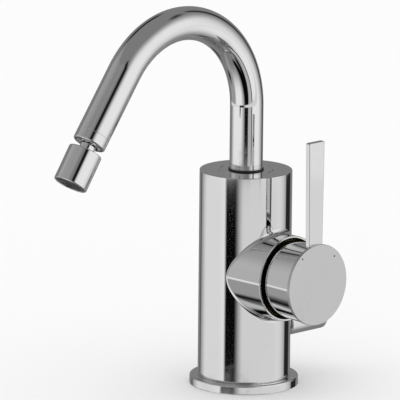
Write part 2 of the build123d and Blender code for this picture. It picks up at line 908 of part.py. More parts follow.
pieces = {
    "base_flange": make_base_flange(),
    "base_gasket": make_base_gasket(),
    "base_block": make_base_block(),
    "body_shell": make_body_shell(),
    "inlet_pipe_hot": make_inlet_pipe(1),
    "inlet_pipe_cold": make_inlet_pipe(-1),
    "outlet_pipe": make_outlet_pipe(),
    "valve_body": make_valve_body(),
    "cartridge_seals": make_cartridge_seals(),
    "cartridge_base": make_cartridge_base(),
    "fixed_ceramic_disc": make_fixed_ceramic_disc(),
    "moving_ceramic_disc": make_moving_ceramic_disc(),
    "disc_driver": make_disc_driver(),
    "cartridge_housing": make_cartridge_housing(),
    "cartridge_nut": make_cartridge_nut(),
    "stem_carrier": make_stem_carrier(),
    "carrier_ring": make_carrier_ring(),
    "stem_pin": make_stem_pin(),
    "cartridge_stem": make_cartridge_stem(),
    "handle_hub": make_handle_hub(),
    "handle_face": make_handle_face(),
    "lever_bar": make_lever_bar(),
    "handle_grub_screw": make_handle_grub_screw(),
    "spout_socket": make_spout_socket(),
    "spout_lock_screw": make_spout_lock_screw(),
    "spout_foot": make_spout_foot(),
    "spout_foot_rings": make_spout_foot_rings(),
    "glide_ring": make_glide_ring(),
    "spout_tube": make_spout_tube(),
    "end_ring": make_end_ring(),
    "ball_seal": make_ball_seal(),
    "swivel_ball": make_swivel_ball(),
    "aerator_housing": make_aerator_housing(),
    "aerator_gasket": make_aerator_gasket(),
    "aerator_insert": make_aerator_insert(),
    "waste_bush": make_waste_bush(),
    "waste_ball_retainer": make_waste_ball_retainer(),
    "waste_rod": make_waste_rod(),
    "waste_knob": make_waste_knob(),
    "waste_link": make_waste_link(),
    "waste_link_pin": make_waste_link_pin(),
}

os.makedirs("parts", exist_ok=True)
for name, piece in pieces.items():
    save(piece, name)
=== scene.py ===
"""Looks of a deck-mounted bidet mixer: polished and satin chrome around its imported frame.

Everything is in metres, +Z up, with the spout towards -Y and the handle towards +X.
"""

import json
import logging
import math
from collections.abc import Callable, Sequence
from dataclasses import dataclass, field, replace
from enum import Enum
from itertools import product

import bpy
from mathutils import Matrix, Vector


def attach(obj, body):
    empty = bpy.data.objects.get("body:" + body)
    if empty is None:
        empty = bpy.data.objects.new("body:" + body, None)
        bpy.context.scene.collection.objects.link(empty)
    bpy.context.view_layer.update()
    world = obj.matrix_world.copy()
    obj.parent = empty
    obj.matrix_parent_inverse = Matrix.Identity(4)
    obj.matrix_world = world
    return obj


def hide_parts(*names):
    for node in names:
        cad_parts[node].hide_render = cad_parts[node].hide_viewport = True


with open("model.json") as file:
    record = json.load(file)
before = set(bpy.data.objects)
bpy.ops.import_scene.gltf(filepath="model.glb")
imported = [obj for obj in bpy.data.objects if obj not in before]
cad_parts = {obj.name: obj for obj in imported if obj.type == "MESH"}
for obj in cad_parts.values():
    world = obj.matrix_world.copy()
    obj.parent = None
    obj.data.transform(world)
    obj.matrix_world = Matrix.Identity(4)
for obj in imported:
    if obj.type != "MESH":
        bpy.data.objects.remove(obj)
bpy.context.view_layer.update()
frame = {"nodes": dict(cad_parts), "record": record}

MM = 0.001
HALF_TURN = math.pi
QUARTER_TURN = HALF_TURN / 2
FULL_TURN = 2.0 * HALF_TURN
HALF_TURN_DEGREES = 180.0
FULL_TURN_DEGREES = 360.0
MERGE_STEP = 1.0e-6
MERGE_DOUBT = 0.1
SHORTEST = 1.0e-7
ARC_STEP = math.radians(7.5)
FEWEST_ARC_STEPS = 3
# A Mix node has several sockets of each name, so those for colours go by number.
MIX_FACTOR, MIX_FIRST, MIX_SECOND, MIX_RESULT = 0, 6, 7, 2
# The relief effects name their scale differently, but it is always this input.
RELIEF_SCALE = 1
X_AXIS = Vector((1.0, 0.0, 0.0))
Y_AXIS = Vector((0.0, 1.0, 0.0))
Z_AXIS = Vector((0.0, 0.0, 1.0))
NOWHERE = Vector((0.0, 0.0, 0.0))

log = logging.getLogger("bidet_mixer")

Triple = tuple[float, float, float]
Corner = tuple[Vector, Vector]
Row = list[Corner]
Run = list[tuple[float, float, float, float]]
Spot = tuple[float, float]
Edge = Callable[[float], Spot]
Socket = bpy.types.NodeSocket


class Body(str, Enum):
    """Bodies of the frame that a piece can ride on."""

    MIXER = "mixer_body"
    HANDLE = "handle"
    SPOUT = "spout"
    AERATOR = "aerator"
    WASTE = "waste_lever"


class Slot(str, Enum):
    """Material slots of the record."""

    CHROME = "chrome"
    SATIN = "satin"
    BRASS = "brass"
    COPPER = "copper"
    STEEL = "steel"
    CERAMIC = "ceramic"
    HOUSING = "housing"
    DRIVER = "driver"
    DARK = "dark"
    RUBBER = "rubber"
    INSERT = "insert"


@dataclass(frozen=True)
class Seat:
    """Axis on which a piece is turned.

    Attributes:
        origin: Point where the axis has height 0.
        along: Direction of the axis.
        side: Direction in which an angle of 0 points.
    """

    origin: Vector
    along: Vector
    side: Vector

    def matrix(self) -> Matrix:
        """Work out how the piece stands.

        Returns:
            Turn and shift from the piece's own axes to those of the frame.
        """
        z_axis = self.along.normalized()
        x_axis = (self.side - z_axis * self.side.dot(z_axis)).normalized()
        y_axis = z_axis.cross(x_axis)
        turn = Matrix((x_axis, y_axis, z_axis)).transposed().to_4x4()
        return Matrix.Translation(self.origin) @ turn


UPRIGHT = Seat(NOWHERE, Z_AXIS, X_AXIS)


def spoke(angle: float) -> Vector:
    """Direction away from a seat's axis at an angle."""
    return Vector((math.cos(angle), math.sin(angle), 0.0))


def tipped(turn: float) -> Vector:
    """Direction that starts upright and turns towards -Y."""
    return Vector((0.0, -math.sin(turn), math.cos(turn)))


def about_sleeve(turn: float) -> Vector:
    """Direction away from the sleeve's axis at a bearing from the top."""
    return Vector((0.0, math.sin(turn), math.cos(turn)))


def spread(start: float, end: float, steps: int) -> list[float]:
    """Evenly spaced values from start to end, both included."""
    return [start + (end - start) * step / steps for step in range(steps + 1)]


@dataclass(frozen=True)
class Bend:
    """One corner of an outline.

    Attributes:
        radius: Distance from the axis, or first coordinate of a flat outline.
        height: Place along the axis, or second coordinate of a flat outline.
        rounding: Radius of the rounded corner, or 0 for a sharp one.
    """

    radius: float
    height: float
    rounding: float = 0.0

    def towards(self, other: "Bend") -> Spot:
        """Find the way to another corner.

        Args:
            other: The other corner.

        Returns:
            Unit direction to it.
        """
        across, up = other.radius - self.radius, other.height - self.height
        length = math.hypot(across, up)
        return across / length, up / length

    def arc(self, before: Spot, after: Spot) -> Run:
        """Points and normals round this corner.

        Args:
            before: Direction into the corner.
            after: Direction out of the corner.

        Returns:
            One entry at a sharp corner, or several along its arc.
        """
        turn = math.atan2(
            before[0] * after[1] - before[1] * after[0],
            before[0] * after[0] + before[1] * after[1],
        )
        normal = (before[1], -before[0])
        if self.rounding == 0.0 or abs(turn) < SHORTEST:
            return [(self.radius, self.height, *normal)]
        side = math.copysign(self.rounding, turn)
        reach = self.rounding * math.tan(abs(turn) / 2)
        middle = self.radius - before[0] * reach - side * normal[0]
        middle_height = self.height - before[1] * reach - side * normal[1]
        steps = max(FEWEST_ARC_STEPS, math.ceil(abs(turn) / ARC_STEP))
        run: Run = []
        for step in range(steps + 1):
            angle = turn * step / steps
            across = normal[0] * math.cos(angle) - normal[1] * math.sin(angle)
            up = normal[0] * math.sin(angle) + normal[1] * math.cos(angle)
            run.append((middle + side * across, middle_height + side * up, across, up))
        return run


class Outline:
    """Outline of a piece, listed with its material on the left."""

    def __init__(self, *bends: Bend, closed: bool = True) -> None:
        """Keep the corners.

        Args:
            *bends: Corners in order, anticlockwise with the radius to the right.
            closed: Whether the last corner joins the first.
        """
        self.bends = bends
        self.closed = closed

    def runs(self) -> list[Run]:
        """Split the outline into its straight and round runs.

        Returns:
            Lists of radius, height, and the two parts of the outward normal.
        """
        count = len(self.bends)
        arcs: list[Run] = []
        for index, bend in enumerate(self.bends):
            after = bend.towards(self.bends[(index + 1) % count])
            before = self.bends[index - 1].towards(bend)
            at_end = not self.closed and index in (0, count - 1)
            sharp = [(bend.radius, bend.height, 0.0, 0.0)]
            arcs.append(sharp if at_end else bend.arc(before, after))
        runs: list[Run] = []
        for index in range(count):
            if len(arcs[index]) > 1:
                runs.append(arcs[index])
            if not self.closed and index == count - 1:
                break
            here, there = arcs[index][-1], arcs[(index + 1) % count][0]
            length = math.hypot(there[0] - here[0], there[1] - here[1])
            if length > SHORTEST:
                normal = ((there[1] - here[1]) / length, (here[0] - there[0]) / length)
                runs.append([(*here[:2], *normal), (*there[:2], *normal)])
        return runs


@dataclass(frozen=True)
class Spin:
    """Angles at which a turned piece has its points.

    Attributes:
        segments: Steps in a full turn.
        first: First step of the swept part.
        last: Last step of the swept part, or the same as segments for a full turn.
        gate_half: Half the width of a gate with parallel sides at half a turn, or 0.
        gate_steps: Steps from half a turn to each side of the gate.
    """

    segments: int = 128
    first: int = 0
    last: int = 128
    gate_half: float = 0.0
    gate_steps: int = 0

    @property
    def full(self) -> bool:
        """Whether the sweep closes on itself."""
        return self.last - self.first == self.segments

    def angle(self, step: int, radius: float) -> float:
        """Find the angle of one step, moved where it is a side of the gate.

        Args:
            step: Number of the step.
            radius: Radius at which the step's point lies.

        Returns:
            The angle.
        """
        plain = FULL_TURN * step / self.segments
        from_gate = (step - self.segments // 2) % self.segments
        if self.gate_half == 0.0 or radius <= self.gate_half:
            return plain
        if from_gate == self.gate_steps:
            return HALF_TURN + math.asin(self.gate_half / radius)
        if from_gate == self.segments - self.gate_steps:
            return HALF_TURN - math.asin(self.gate_half / radius)
        return plain

    def angles(self, radius: float) -> list[float]:
        """Angles of the whole sweep at one radius."""
        end = self.last if self.full else self.last + 1
        return [self.angle(step, radius) for step in range(self.first, end)]


ALL_ROUND = Spin()


@dataclass(frozen=True)
class Window:
    """Opening in a round wall, inside a block of the wall's own grid.

    Attributes:
        first: Step at the block's start.
        last: Step at the block's end.
        low: Number of the block's lowest level.
        high: Number of the block's highest level.
        angle: Angle of the opening's centre.
        height: Height of the opening's centre.
        reach: Radius by which angles become lengths round the opening.
        edge: Gives the angle and height of the opening's edge at a bearing.
        rings: Rows of faces between the edge and the block.
    """

    first: int
    last: int
    low: int
    high: int
    angle: float
    height: float
    reach: float
    edge: Edge
    rings: int

    def perimeter(self) -> list[tuple[int, int]]:
        """Go round the block.

        Returns:
            Steps and levels of its points, in order.
        """
        bottom = [(step, self.low) for step in range(self.first, self.last)]
        right = [(self.last, level) for level in range(self.low, self.high)]
        top = [(step, self.high) for step in range(self.last, self.first, -1)]
        left = [(self.first, level) for level in range(self.high, self.low, -1)]
        return bottom + right + top + left

    def holds(self, step: int, level: int, segments: int) -> bool:
        """Whether a face of the wall's grid lies in the block."""
        from_first = (step - self.first) % segments
        return from_first < self.last - self.first and self.low <= level < self.high

    def bearings(self, levels: Sequence[float], spin: Spin) -> list[float]:
        """Bearings from the opening's centre to the points round its block.

        Args:
            levels: Heights of the wall's rows.
            spin: Angles of the wall's points.

        Returns:
            Angles from the axis direction towards growing angles of the wall.
        """
        found: list[float] = []
        for step, level in self.perimeter():
            across = (spin.angle(step, self.reach) - self.angle) * self.reach
            found.append(math.atan2(across, levels[level] - self.height))
        return found


class Skin:
    """Mesh made of patches whose exact normals are known."""

    def __init__(self, name: str) -> None:
        """Start an empty mesh.

        Args:
            name: Name of the piece.
        """
        self.name = name
        self.points: list[Vector] = []
        self.faces: list[list[int]] = []
        self.normals: list[list[Vector]] = []
        self._known: dict[tuple[int, ...], int] = {}

    def _vertex(self, point: Vector) -> int:
        """Find the vertex at a point, or make it if it is new.

        Args:
            point: The point.

        Returns:
            Number of the vertex.
        """
        steps = [value / MERGE_STEP for value in point]
        near = [{round(step - MERGE_DOUBT), round(step + MERGE_DOUBT)} for step in steps]
        for key in product(*near):
            if key in self._known:
                return self._known[key]
        self._known[tuple(round(step) for step in steps)] = len(self.points)
        self.points.append(point.copy())
        return len(self.points) - 1

    def add_face(self, corners: Sequence[Corner]) -> None:
        """Add one face, turned to agree with its normals.

        Args:
            corners: Points with their normals, in order round the face.
        """
        numbers: list[int] = []
        normals: list[Vector] = []
        for point, normal in corners:
            number = self._vertex(point)
            if number not in numbers:
                numbers.append(number)
                normals.append(normal)
        if len(numbers) < 3:
            return
        first = self.points[numbers[0]]
        facing = NOWHERE.copy()
        for left, right in zip(numbers[1:], numbers[2:]):
            facing += (self.points[left] - first).cross(self.points[right] - first)
        if facing.dot(sum(normals, NOWHERE)) < 0.0:
            numbers.reverse()
            normals.reverse()
        self.faces.append(numbers)
        self.normals.append(normals)

    def add_grid(self, rows: Sequence[Sequence[Corner]], closed: bool = True) -> None:
        """Add quads between rows of points.

        Args:
            rows: Rows of equal length.
            closed: Whether each row joins its own start.
        """
        for low, high in zip(rows, rows[1:]):
            count = len(low)
            for index in range(count if closed else count - 1):
                after = (index + 1) % count
                self.add_face([low[index], low[after], high[after], high[index]])

    def add_turned(self, outline: Outline, seat: Seat = UPRIGHT, spin: Spin = ALL_ROUND) -> None:
        """Turn an outline about the axis of a seat.

        Args:
            outline: Outline in metres.
            seat: Axis and place.
            spin: Angles of the sweep.
        """
        place = seat.matrix()
        turn = place.to_3x3()
        for run in outline.runs():
            if max(entry[0] for entry in run) < SHORTEST:
                continue
            rows: list[Row] = []
            for radius, height, across, up in run:
                row: Row = []
                for out in map(spoke, spin.angles(radius)):
                    point = place @ (out * radius + Vector((0.0, 0.0, height)))
                    row.append((point, turn @ (out * across + Vector((0.0, 0.0, up)))))
                rows.append(row)
            self.add_grid(rows, closed=spin.full)

    def add_wall(
        self,
        radius_at: Callable[[float], float],
        levels: Sequence[float],
        windows: Sequence[Window],
        outward: bool,
        seat: Seat = UPRIGHT,
        spin: Spin = ALL_ROUND,
    ) -> None:
        """Add a cylinder or cone with openings.

        Args:
            radius_at: Radius of the wall at a height.
            levels: Heights of its rows.
            windows: Openings, each inside its own block of the grid.
            outward: Whether the surface faces away from the axis.
            seat: Axis and place.
            spin: Angles of its points.
        """
        place = seat.matrix()
        turn = place.to_3x3()
        slope = (radius_at(levels[-1]) - radius_at(levels[0])) / (levels[-1] - levels[0])
        facing = 1.0 if outward else -1.0

        def corner(angle: float, height: float) -> Corner:
            """Find one corner of the wall.

            Args:
                angle: Angle of the corner.
                height: Height of the corner.

            Returns:
                The point with the wall's normal there.
            """
            out = spoke(angle)
            point = place @ (out * radius_at(height) + Vector((0.0, 0.0, height)))
            return point, (turn @ ((out - Vector((0.0, 0.0, slope))) * facing)).normalized()

        def at(step: int, level: int) -> Spot:
            """Angle and height of one point of the grid."""
            return spin.angle(step, radius_at(levels[level])), levels[level]

        for level, step in product(range(len(levels) - 1), range(spin.segments)):
            if any(window.holds(step, level, spin.segments) for window in windows):
                continue
            cells = ((step, level), (step + 1, level), (step + 1, level + 1), (step, level + 1))
            self.add_face([corner(*at(*cell)) for cell in cells])
        for window in windows:
            outer = [at(*cell) for cell in window.perimeter()]
            inner = [window.edge(bearing) for bearing in window.bearings(levels, spin)]
            rows: list[Row] = []
            for share in spread(0.0, 1.0, window.rings):
                row: Row = []
                for near, far in zip(inner, outer):
                    angle, height = (a + share * (b - a) for a, b in zip(near, far))
                    row.append(corner(angle, height))
                rows.append(row)
            self.add_grid(rows)

    def add_plate(self, outline: Outline, seat: Seat, low: float, high: float, edge: float) -> None:
        """Add a flat plate with rounded edges.

        Args:
            outline: Flat outline whose corners are all rounded.
            seat: Plane of the plate: heights run along its axis.
            low: Height of the underside.
            high: Height of the top.
            edge: Radius of the edges, less than any corner's rounding.
        """
        place = seat.matrix()
        turn = place.to_3x3()
        loop = [entry for run in outline.runs() for entry in run[:-1]]
        rings: list[tuple[float, float, float, float]] = []
        for tilt in spread(0.0, QUARTER_TURN, math.ceil(QUARTER_TURN / ARC_STEP)):
            out, down = math.sin(tilt), math.cos(tilt)
            rings.append((low + edge - edge * down, edge - edge * out, out, -down))
        rings += [(low + high - level, inset, out, -up) for level, inset, out, up in rings[::-1]]
        rows: list[Row] = []
        for level, inset, out, up in rings:
            row: Row = []
            for first, second, across, over in loop:
                point = Vector((first - across * inset, second - over * inset, level))
                row.append((place @ point, turn @ Vector((across * out, over * out, up))))
            rows.append(row)
        self.add_grid(rows)
        for row, facing in ((rows[0], -1.0), (rows[-1], 1.0)):
            normal = turn @ Vector((0.0, 0.0, facing))
            self.add_face([(point, normal) for point, _ in row])

    def build(self, material: bpy.types.Material) -> bpy.types.Object:
        """Make the Blender object.

        Args:
            material: Finish of the whole piece.

        Returns:
            The linked object.
        """
        mesh = bpy.data.meshes.new(self.name)
        mesh.from_pydata([tuple(point) for point in self.points], [], self.faces)
        mesh.shade_smooth()
        normals = [tuple(normal.normalized()) for face in self.normals for normal in face]
        mesh.normals_split_custom_set(normals)
        mesh.materials.append(material)
        piece = bpy.data.objects.new(self.name, mesh)
        bpy.context.scene.collection.objects.link(piece)
        return piece

    def mount(self, finish: Slot, body: Body, *replaced: str) -> None:
        """Make the piece and tie it to the frame.

        Args:
            finish: Material slot of the record, which gives the finish.
            body: Body that the piece rides on.
            *replaced: Frame nodes that it stands for.
        """
        piece, slot = self.build(FINISHES[finish].material()), finish.value
        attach(piece, body.value)
        if replaced:
            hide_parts(*replaced)
        log.info("made %s on %s with %d faces", piece.name, body.value, len(piece.data.polygons))


def mount_turned(
    name: str,
    outline: Outline,
    finish: Slot,
    body: Body,
    *replaced: str,
    seat: Seat = UPRIGHT,
    spin: Spin = ALL_ROUND,
) -> None:
    """Make and tie a piece that is one turned outline.

    Args:
        name: Name of the piece.
        outline: Outline in metres.
        finish: Material slot of the record.
        body: Body that the piece rides on.
        *replaced: Frame nodes that it stands for.
        seat: Axis and place.
        spin: Angles of the sweep.
    """
    skin = Skin(name)
    skin.add_turned(outline, seat, spin)
    skin.mount(finish, body, *replaced)


class Effect(str, Enum):
    """Node groups that several finishes share."""

    WATER_MARKS = "water_marks"
    SCRATCHES = "fine_scratches"
    MACHINING = "machining_lines"
    GRAIN = "surface_grain"
    EDGE_WEAR = "edge_wear"
    # Painted shade deep in gaps, laid by ambient occlusion.
    CREVICES = "painted_crevice_shade"
    STUDIO_PANEL = "studio_panel"


class Wiring:
    """Short way to add and join the nodes of one tree."""

    def __init__(self, tree: bpy.types.NodeTree) -> None:
        """Keep the tree to work on."""
        self.tree = tree

    def add(self, kind: str, **settings: object) -> bpy.types.Node:
        """Add a node.

        Args:
            kind: Type of the node.
            **settings: Its own properties.

        Returns:
            The node.
        """
        node = self.tree.nodes.new(kind)
        for key, value in settings.items():
            setattr(node, key, value)
        return node

    def join(self, source: Socket, target: Socket) -> None:
        """Link an output to an input."""
        self.tree.links.new(source, target)

    def feed(self, node: bpy.types.Node, inputs: dict[object, object]) -> bpy.types.Node:
        """Link or set several inputs of a node.

        Args:
            node: The node.
            inputs: Sockets or plain values by the name or number of the input.

        Returns:
            The same node.
        """
        for key, value in inputs.items():
            if isinstance(value, Socket):
                self.join(value, node.inputs[key])
            else:
                node.inputs[key].default_value = value
        return node

    def maths(self, operation: str, *values: object) -> Socket:
        """Result of one sum on sockets or numbers."""
        node = self.add("ShaderNodeMath", operation=operation)
        return self.feed(node, dict(enumerate(values))).outputs[0]

    def remap(self, value: Socket, before: tuple, after: tuple) -> Socket:
        """Value carried smoothly from one range, of numbers or sockets, to another."""
        node = self.add("ShaderNodeMapRange", interpolation_type="SMOOTHSTEP")
        return self.feed(node, dict(enumerate((value, *before, *after)))).outputs[0]

    def noise(self, place: Socket, scale: object, detail: float) -> Socket:
        """Plain noise at a place in space."""
        node = self.add("ShaderNodeTexNoise")
        return self.feed(node, {"Vector": place, "Scale": scale, "Detail": detail}).outputs[0]

    def stretched(self, place: Socket, scale: Triple, turn: float = 0.0) -> Socket:
        """Scale a place, then turn it.

        Args:
            place: The place.
            scale: Scale along each axis.
            turn: Turn about Z, after the scale.

        Returns:
            The new place.
        """
        node = self.add("ShaderNodeMapping")
        inputs = {"Vector": place, "Rotation": (0.0, 0.0, turn), "Scale": scale}
        return self.feed(node, inputs).outputs[0]

    def own_place(self) -> Socket:
        """Place in the piece's own space."""
        return self.add("ShaderNodeTexCoord").outputs["Object"]

    def effect(self, effect: Effect, inputs: dict[object, object]) -> Socket:
        """Output of a shared effect, placed with its own values."""
        node = self.add("ShaderNodeGroup", node_tree=bpy.data.node_groups[effect.value])
        return self.feed(node, inputs).outputs[0]

    def emboss(self, shader: bpy.types.Node, height: Socket, strength: float, depth: float) -> None:
        """Give a shader the relief of a height.

        Args:
            shader: The shader.
            height: Height of the surface.
            strength: Strength of the bump, from 0 to 1.
            depth: Depth that a height of 1 stands for.
        """
        bump = self.add("ShaderNodeBump")
        self.feed(bump, {"Strength": strength, "Distance": depth, "Height": height})
        self.join(bump.outputs[0], shader.inputs["Normal"])


class EffectGroup(Wiring):
    """Node group of one effect, with a place in space as its first input."""

    def __init__(self, effect: Effect, output: str, inputs: dict[str, float]) -> None:
        """Start the group.

        Args:
            effect: Name of the group.
            output: Name of its output.
            inputs: Its number inputs with their first values.
        """
        tree = bpy.data.node_groups.new(effect.value, "ShaderNodeTree")
        super().__init__(tree)
        tree.interface.new_socket("Place", in_out="INPUT", socket_type="NodeSocketVector")
        for name, value in inputs.items():
            socket = tree.interface.new_socket(name, in_out="INPUT", socket_type="NodeSocketFloat")
            socket.default_value = value
        tree.interface.new_socket(output, in_out="OUTPUT", socket_type="NodeSocketFloat")
        self.start = self.add("NodeGroupInput")
        self.end = self.add("NodeGroupOutput")

    def value(self, name: str) -> Socket:
        """Input of the group, as the nodes inside read it."""
        return self.start.outputs[name]

    def put_out(self, result: Socket) -> None:
        """Join a result to the group's output."""
        self.join(result, self.end.inputs[0])


def make_water_marks() -> None:
    """Faint dried-water film: a mask that is 1 where the surface is dull."""
    speck_fineness, speck_weight, driest = 14.0, 0.25, 1.1
    group = EffectGroup(
        Effect.WATER_MARKS, "Mask", {"Scale": 18.0, "Coverage": 0.45, "Softness": 0.2}
    )
    place, scale = group.value("Place"), group.value("Scale")
    clouds = group.noise(place, scale, detail=3.0)
    specks = group.noise(place, group.maths("MULTIPLY", scale, speck_fineness), detail=2.0)
    blend = group.maths("MULTIPLY_ADD", specks, speck_weight, clouds)
    level = group.maths("SUBTRACT", driest, group.value("Coverage"))
    high = group.maths("ADD", level, group.value("Softness"))
    group.put_out(group.remap(blend, (level, high), (0.0, 1.0)))


def make_scratches() -> None:
    """Hair-fine wiping scratches in several directions, as a height."""
    strokes = ((0.5, (1.0, 0.03, 0.25)), (-0.9, (0.04, 1.0, 0.3)), (0.1, (0.6, 0.6, 0.02)))
    line_levels = (0.62, 0.72)
    group = EffectGroup(Effect.SCRATCHES, "Height", {"Scale": 900.0, "Depth": 1.0})
    total: object = 0.0
    for turn, scale in strokes:
        place = group.stretched(group.value("Place"), scale, turn)
        lines = group.noise(place, group.value("Scale"), detail=1.0)
        total = group.maths("ADD", total, group.remap(lines, line_levels, (0.0, 1.0)))
    group.put_out(group.maths("MULTIPLY", total, group.value("Depth")))


def make_machining() -> None:
    """Fine parallel tool lines across one direction, as a height."""
    patch_scale = 120.0
    group = EffectGroup(Effect.MACHINING, "Height", {"Pitch": 2500.0, "Waver": 0.4})
    place, pitch, waver = group.value("Place"), group.value("Pitch"), group.value("Waver")
    lines = group.add("ShaderNodeTexWave", wave_type="BANDS", bands_direction="Z")
    group.feed(lines, {"Vector": place, "Scale": pitch, "Distortion": waver})
    patches = group.noise(place, patch_scale, detail=3.0)
    group.put_out(group.maths("MULTIPLY", lines.outputs["Fac"], patches))


def make_grain() -> None:
    """Fine even grain of moulded, cast or ground surfaces, as a height."""
    broad_share = 0.1
    group = EffectGroup(Effect.GRAIN, "Height", {"Scale": 1500.0, "Clouding": 0.3})
    place, scale = group.value("Place"), group.value("Scale")
    fine = group.noise(place, scale, detail=6.0)
    broad = group.noise(place, group.maths("MULTIPLY", scale, broad_share), detail=2.0)
    group.put_out(group.maths("MULTIPLY_ADD", broad, group.value("Clouding"), fine))


def make_edge_wear() -> None:
    """Mask that is 1 on rubbed outer edges."""
    breakup_scale, ramp = 400.0, 0.05
    group = EffectGroup(Effect.EDGE_WEAR, "Mask", {"Start": 0.54, "Breakup": 0.06})
    edge = group.add("ShaderNodeNewGeometry").outputs["Pointiness"]
    rough = group.noise(group.value("Place"), breakup_scale, detail=4.0)
    level = group.maths("MULTIPLY_ADD", rough, group.value("Breakup"), edge)
    high = group.maths("ADD", group.value("Start"), ramp)
    group.put_out(group.remap(level, (group.value("Start"), high), (0.0, 1.0)))


def make_crevices() -> None:
    """Mask that is 1 deep in gaps, from ambient occlusion: painted shade in crevices."""
    breakup_scale, gap_levels = 300.0, (0.35, 0.75)
    group = EffectGroup(Effect.CREVICES, "Mask", {"Reach": 0.012, "Breakup": 0.1})
    # Low ambient occlusion in gaps gives a mask of 1, which paints shade there.
    open_sky = group.add("ShaderNodeAmbientOcclusion", samples=8)
    group.join(group.value("Reach"), open_sky.inputs["Distance"])
    rough = group.noise(group.value("Place"), breakup_scale, detail=3.0)
    level = group.maths("MULTIPLY_ADD", rough, group.value("Breakup"), open_sky.outputs["AO"])
    group.put_out(group.remap(level, gap_levels, (1.0, 0.0)))


def make_studio_panel() -> None:
    """One soft-edged panel of the studio, laid over the brightness beneath it."""
    sides = {"Left": -20.0, "Right": 20.0, "Low": -20.0, "High": 20.0}
    blurs = {f"Soft {side}": 2.0 for side in sides}
    inputs = {"Beneath": 0.0, "Level": 1.0, **sides, **blurs, "Lean": 0.0}
    group = EffectGroup(Effect.STUDIO_PANEL, "Brightness", inputs)
    maths, value = group.maths, group.value
    parts = group.add("ShaderNodeSeparateXYZ")
    group.join(value("Place"), parts.inputs[0])
    behind = maths("MULTIPLY", parts.outputs["Y"], -1.0)
    bearing = maths("DEGREES", maths("ARCTAN2", parts.outputs["X"], behind))
    height = maths("DEGREES", maths("ARCSINE", parts.outputs["Z"]))
    middle = maths("MULTIPLY", maths("ADD", value("Left"), value("Right")), 0.5)
    half = maths("MULTIPLY", maths("SUBTRACT", value("Right"), value("Left")), 0.5)
    level = maths("MULTIPLY", maths("ADD", value("Low"), value("High")), 0.5)
    centre = maths("MULTIPLY_ADD", maths("SUBTRACT", height, level), value("Lean"), middle)
    positive = FULL_TURN_DEGREES + HALF_TURN_DEGREES
    turned = maths("ADD", maths("SUBTRACT", bearing, centre), positive)
    wrapped = maths("FLOORED_MODULO", turned, FULL_TURN_DEGREES)
    offset = maths("SUBTRACT", wrapped, HALF_TURN_DEGREES)
    mask: object = 1.0
    for distance, edge, side, inside in (
        (offset, maths("MULTIPLY", half, -1.0), "Left", 1.0),
        (offset, half, "Right", 0.0),
        (height, value("Low"), "Low", 1.0),
        (height, value("High"), "High", 0.0),
    ):
        soft = value(f"Soft {side}")
        ends = (maths("SUBTRACT", edge, soft), maths("ADD", edge, soft))
        mask = maths("MULTIPLY", mask, group.remap(distance, ends, (1.0 - inside, inside)))
    step = maths("SUBTRACT", value("Level"), value("Beneath"))
    group.put_out(maths("MULTIPLY_ADD", mask, step, value("Beneath")))


def new_material(name: str) -> tuple[bpy.types.Material, Wiring]:
    """Start a material.

    Args:
        name: Name of the material.

    Returns:
        The material and its wiring.
    """
    material = bpy.data.materials.new(name)
    material.use_nodes = True
    return material, Wiring(material.node_tree)


@dataclass(frozen=True)
class Finish:
    """Surface of a piece: colour, gloss, marks and relief.

    Attributes:
        name: Name of the material.
        colour: Main colour.
        mark_and_shade_colour: Colour under marks or wear, and under the painted shade in gaps of
            brass.
        roughness: Roughness of the clean surface and of the surface under marks or painted shade.
        metallic: 1 for metal, 0 for anything else.
        relief: Effect that gives the height of the surface.
        relief_scale: Scale of that effect.
        relief_strength: Strength of the bump, from 0 to 1.
        mask: Effect that gives where the second colour shows: marks, wear, or painted shade in
            gaps.
        stretch: Scale of the relief along each axis.
        relief_depth: Depth that a height of 1 stands for.
    """

    name: str
    colour: Triple
    mark_and_shade_colour: Triple
    roughness: tuple[float, float]
    metallic: float
    relief: Effect
    relief_scale: float
    relief_strength: float
    mask: Effect = Effect.WATER_MARKS
    stretch: Triple = (1.0, 1.0, 1.0)
    relief_depth: float = 0.02 * MM

    def material(self) -> bpy.types.Material:
        """Build the material, or find it where it is built already.

        Returns:
            The material.
        """
        if self.name in bpy.data.materials:
            return bpy.data.materials[self.name]
        material, wiring = new_material(self.name)
        shader = material.node_tree.nodes["Principled BSDF"]
        place = wiring.own_place()
        mask = wiring.effect(self.mask, {"Place": place})
        # Where the mask is 1 the colour is that of marks, and for brass the near-black painted
        # shade in gaps.
        colours = wiring.add("ShaderNodeMix", data_type="RGBA")
        clean, mark_and_shade = (*self.colour, 1.0), (*self.mark_and_shade_colour, 1.0)
        wiring.feed(colours, {MIX_FACTOR: mask, MIX_FIRST: clean, MIX_SECOND: mark_and_shade})
        wiring.join(colours.outputs[MIX_RESULT], shader.inputs["Base Color"])
        wiring.join(wiring.remap(mask, (0.0, 1.0), self.roughness), shader.inputs["Roughness"])
        relief_place = wiring.stretched(place, self.stretch)
        relief_inputs = {"Place": relief_place, RELIEF_SCALE: self.relief_scale}
        height = wiring.effect(self.relief, relief_inputs)
        wiring.emboss(shader, height, self.relief_strength, self.relief_depth)
        shader.inputs["Metallic"].default_value = self.metallic
        material.diffuse_color = (*self.colour, 1.0)
        return material


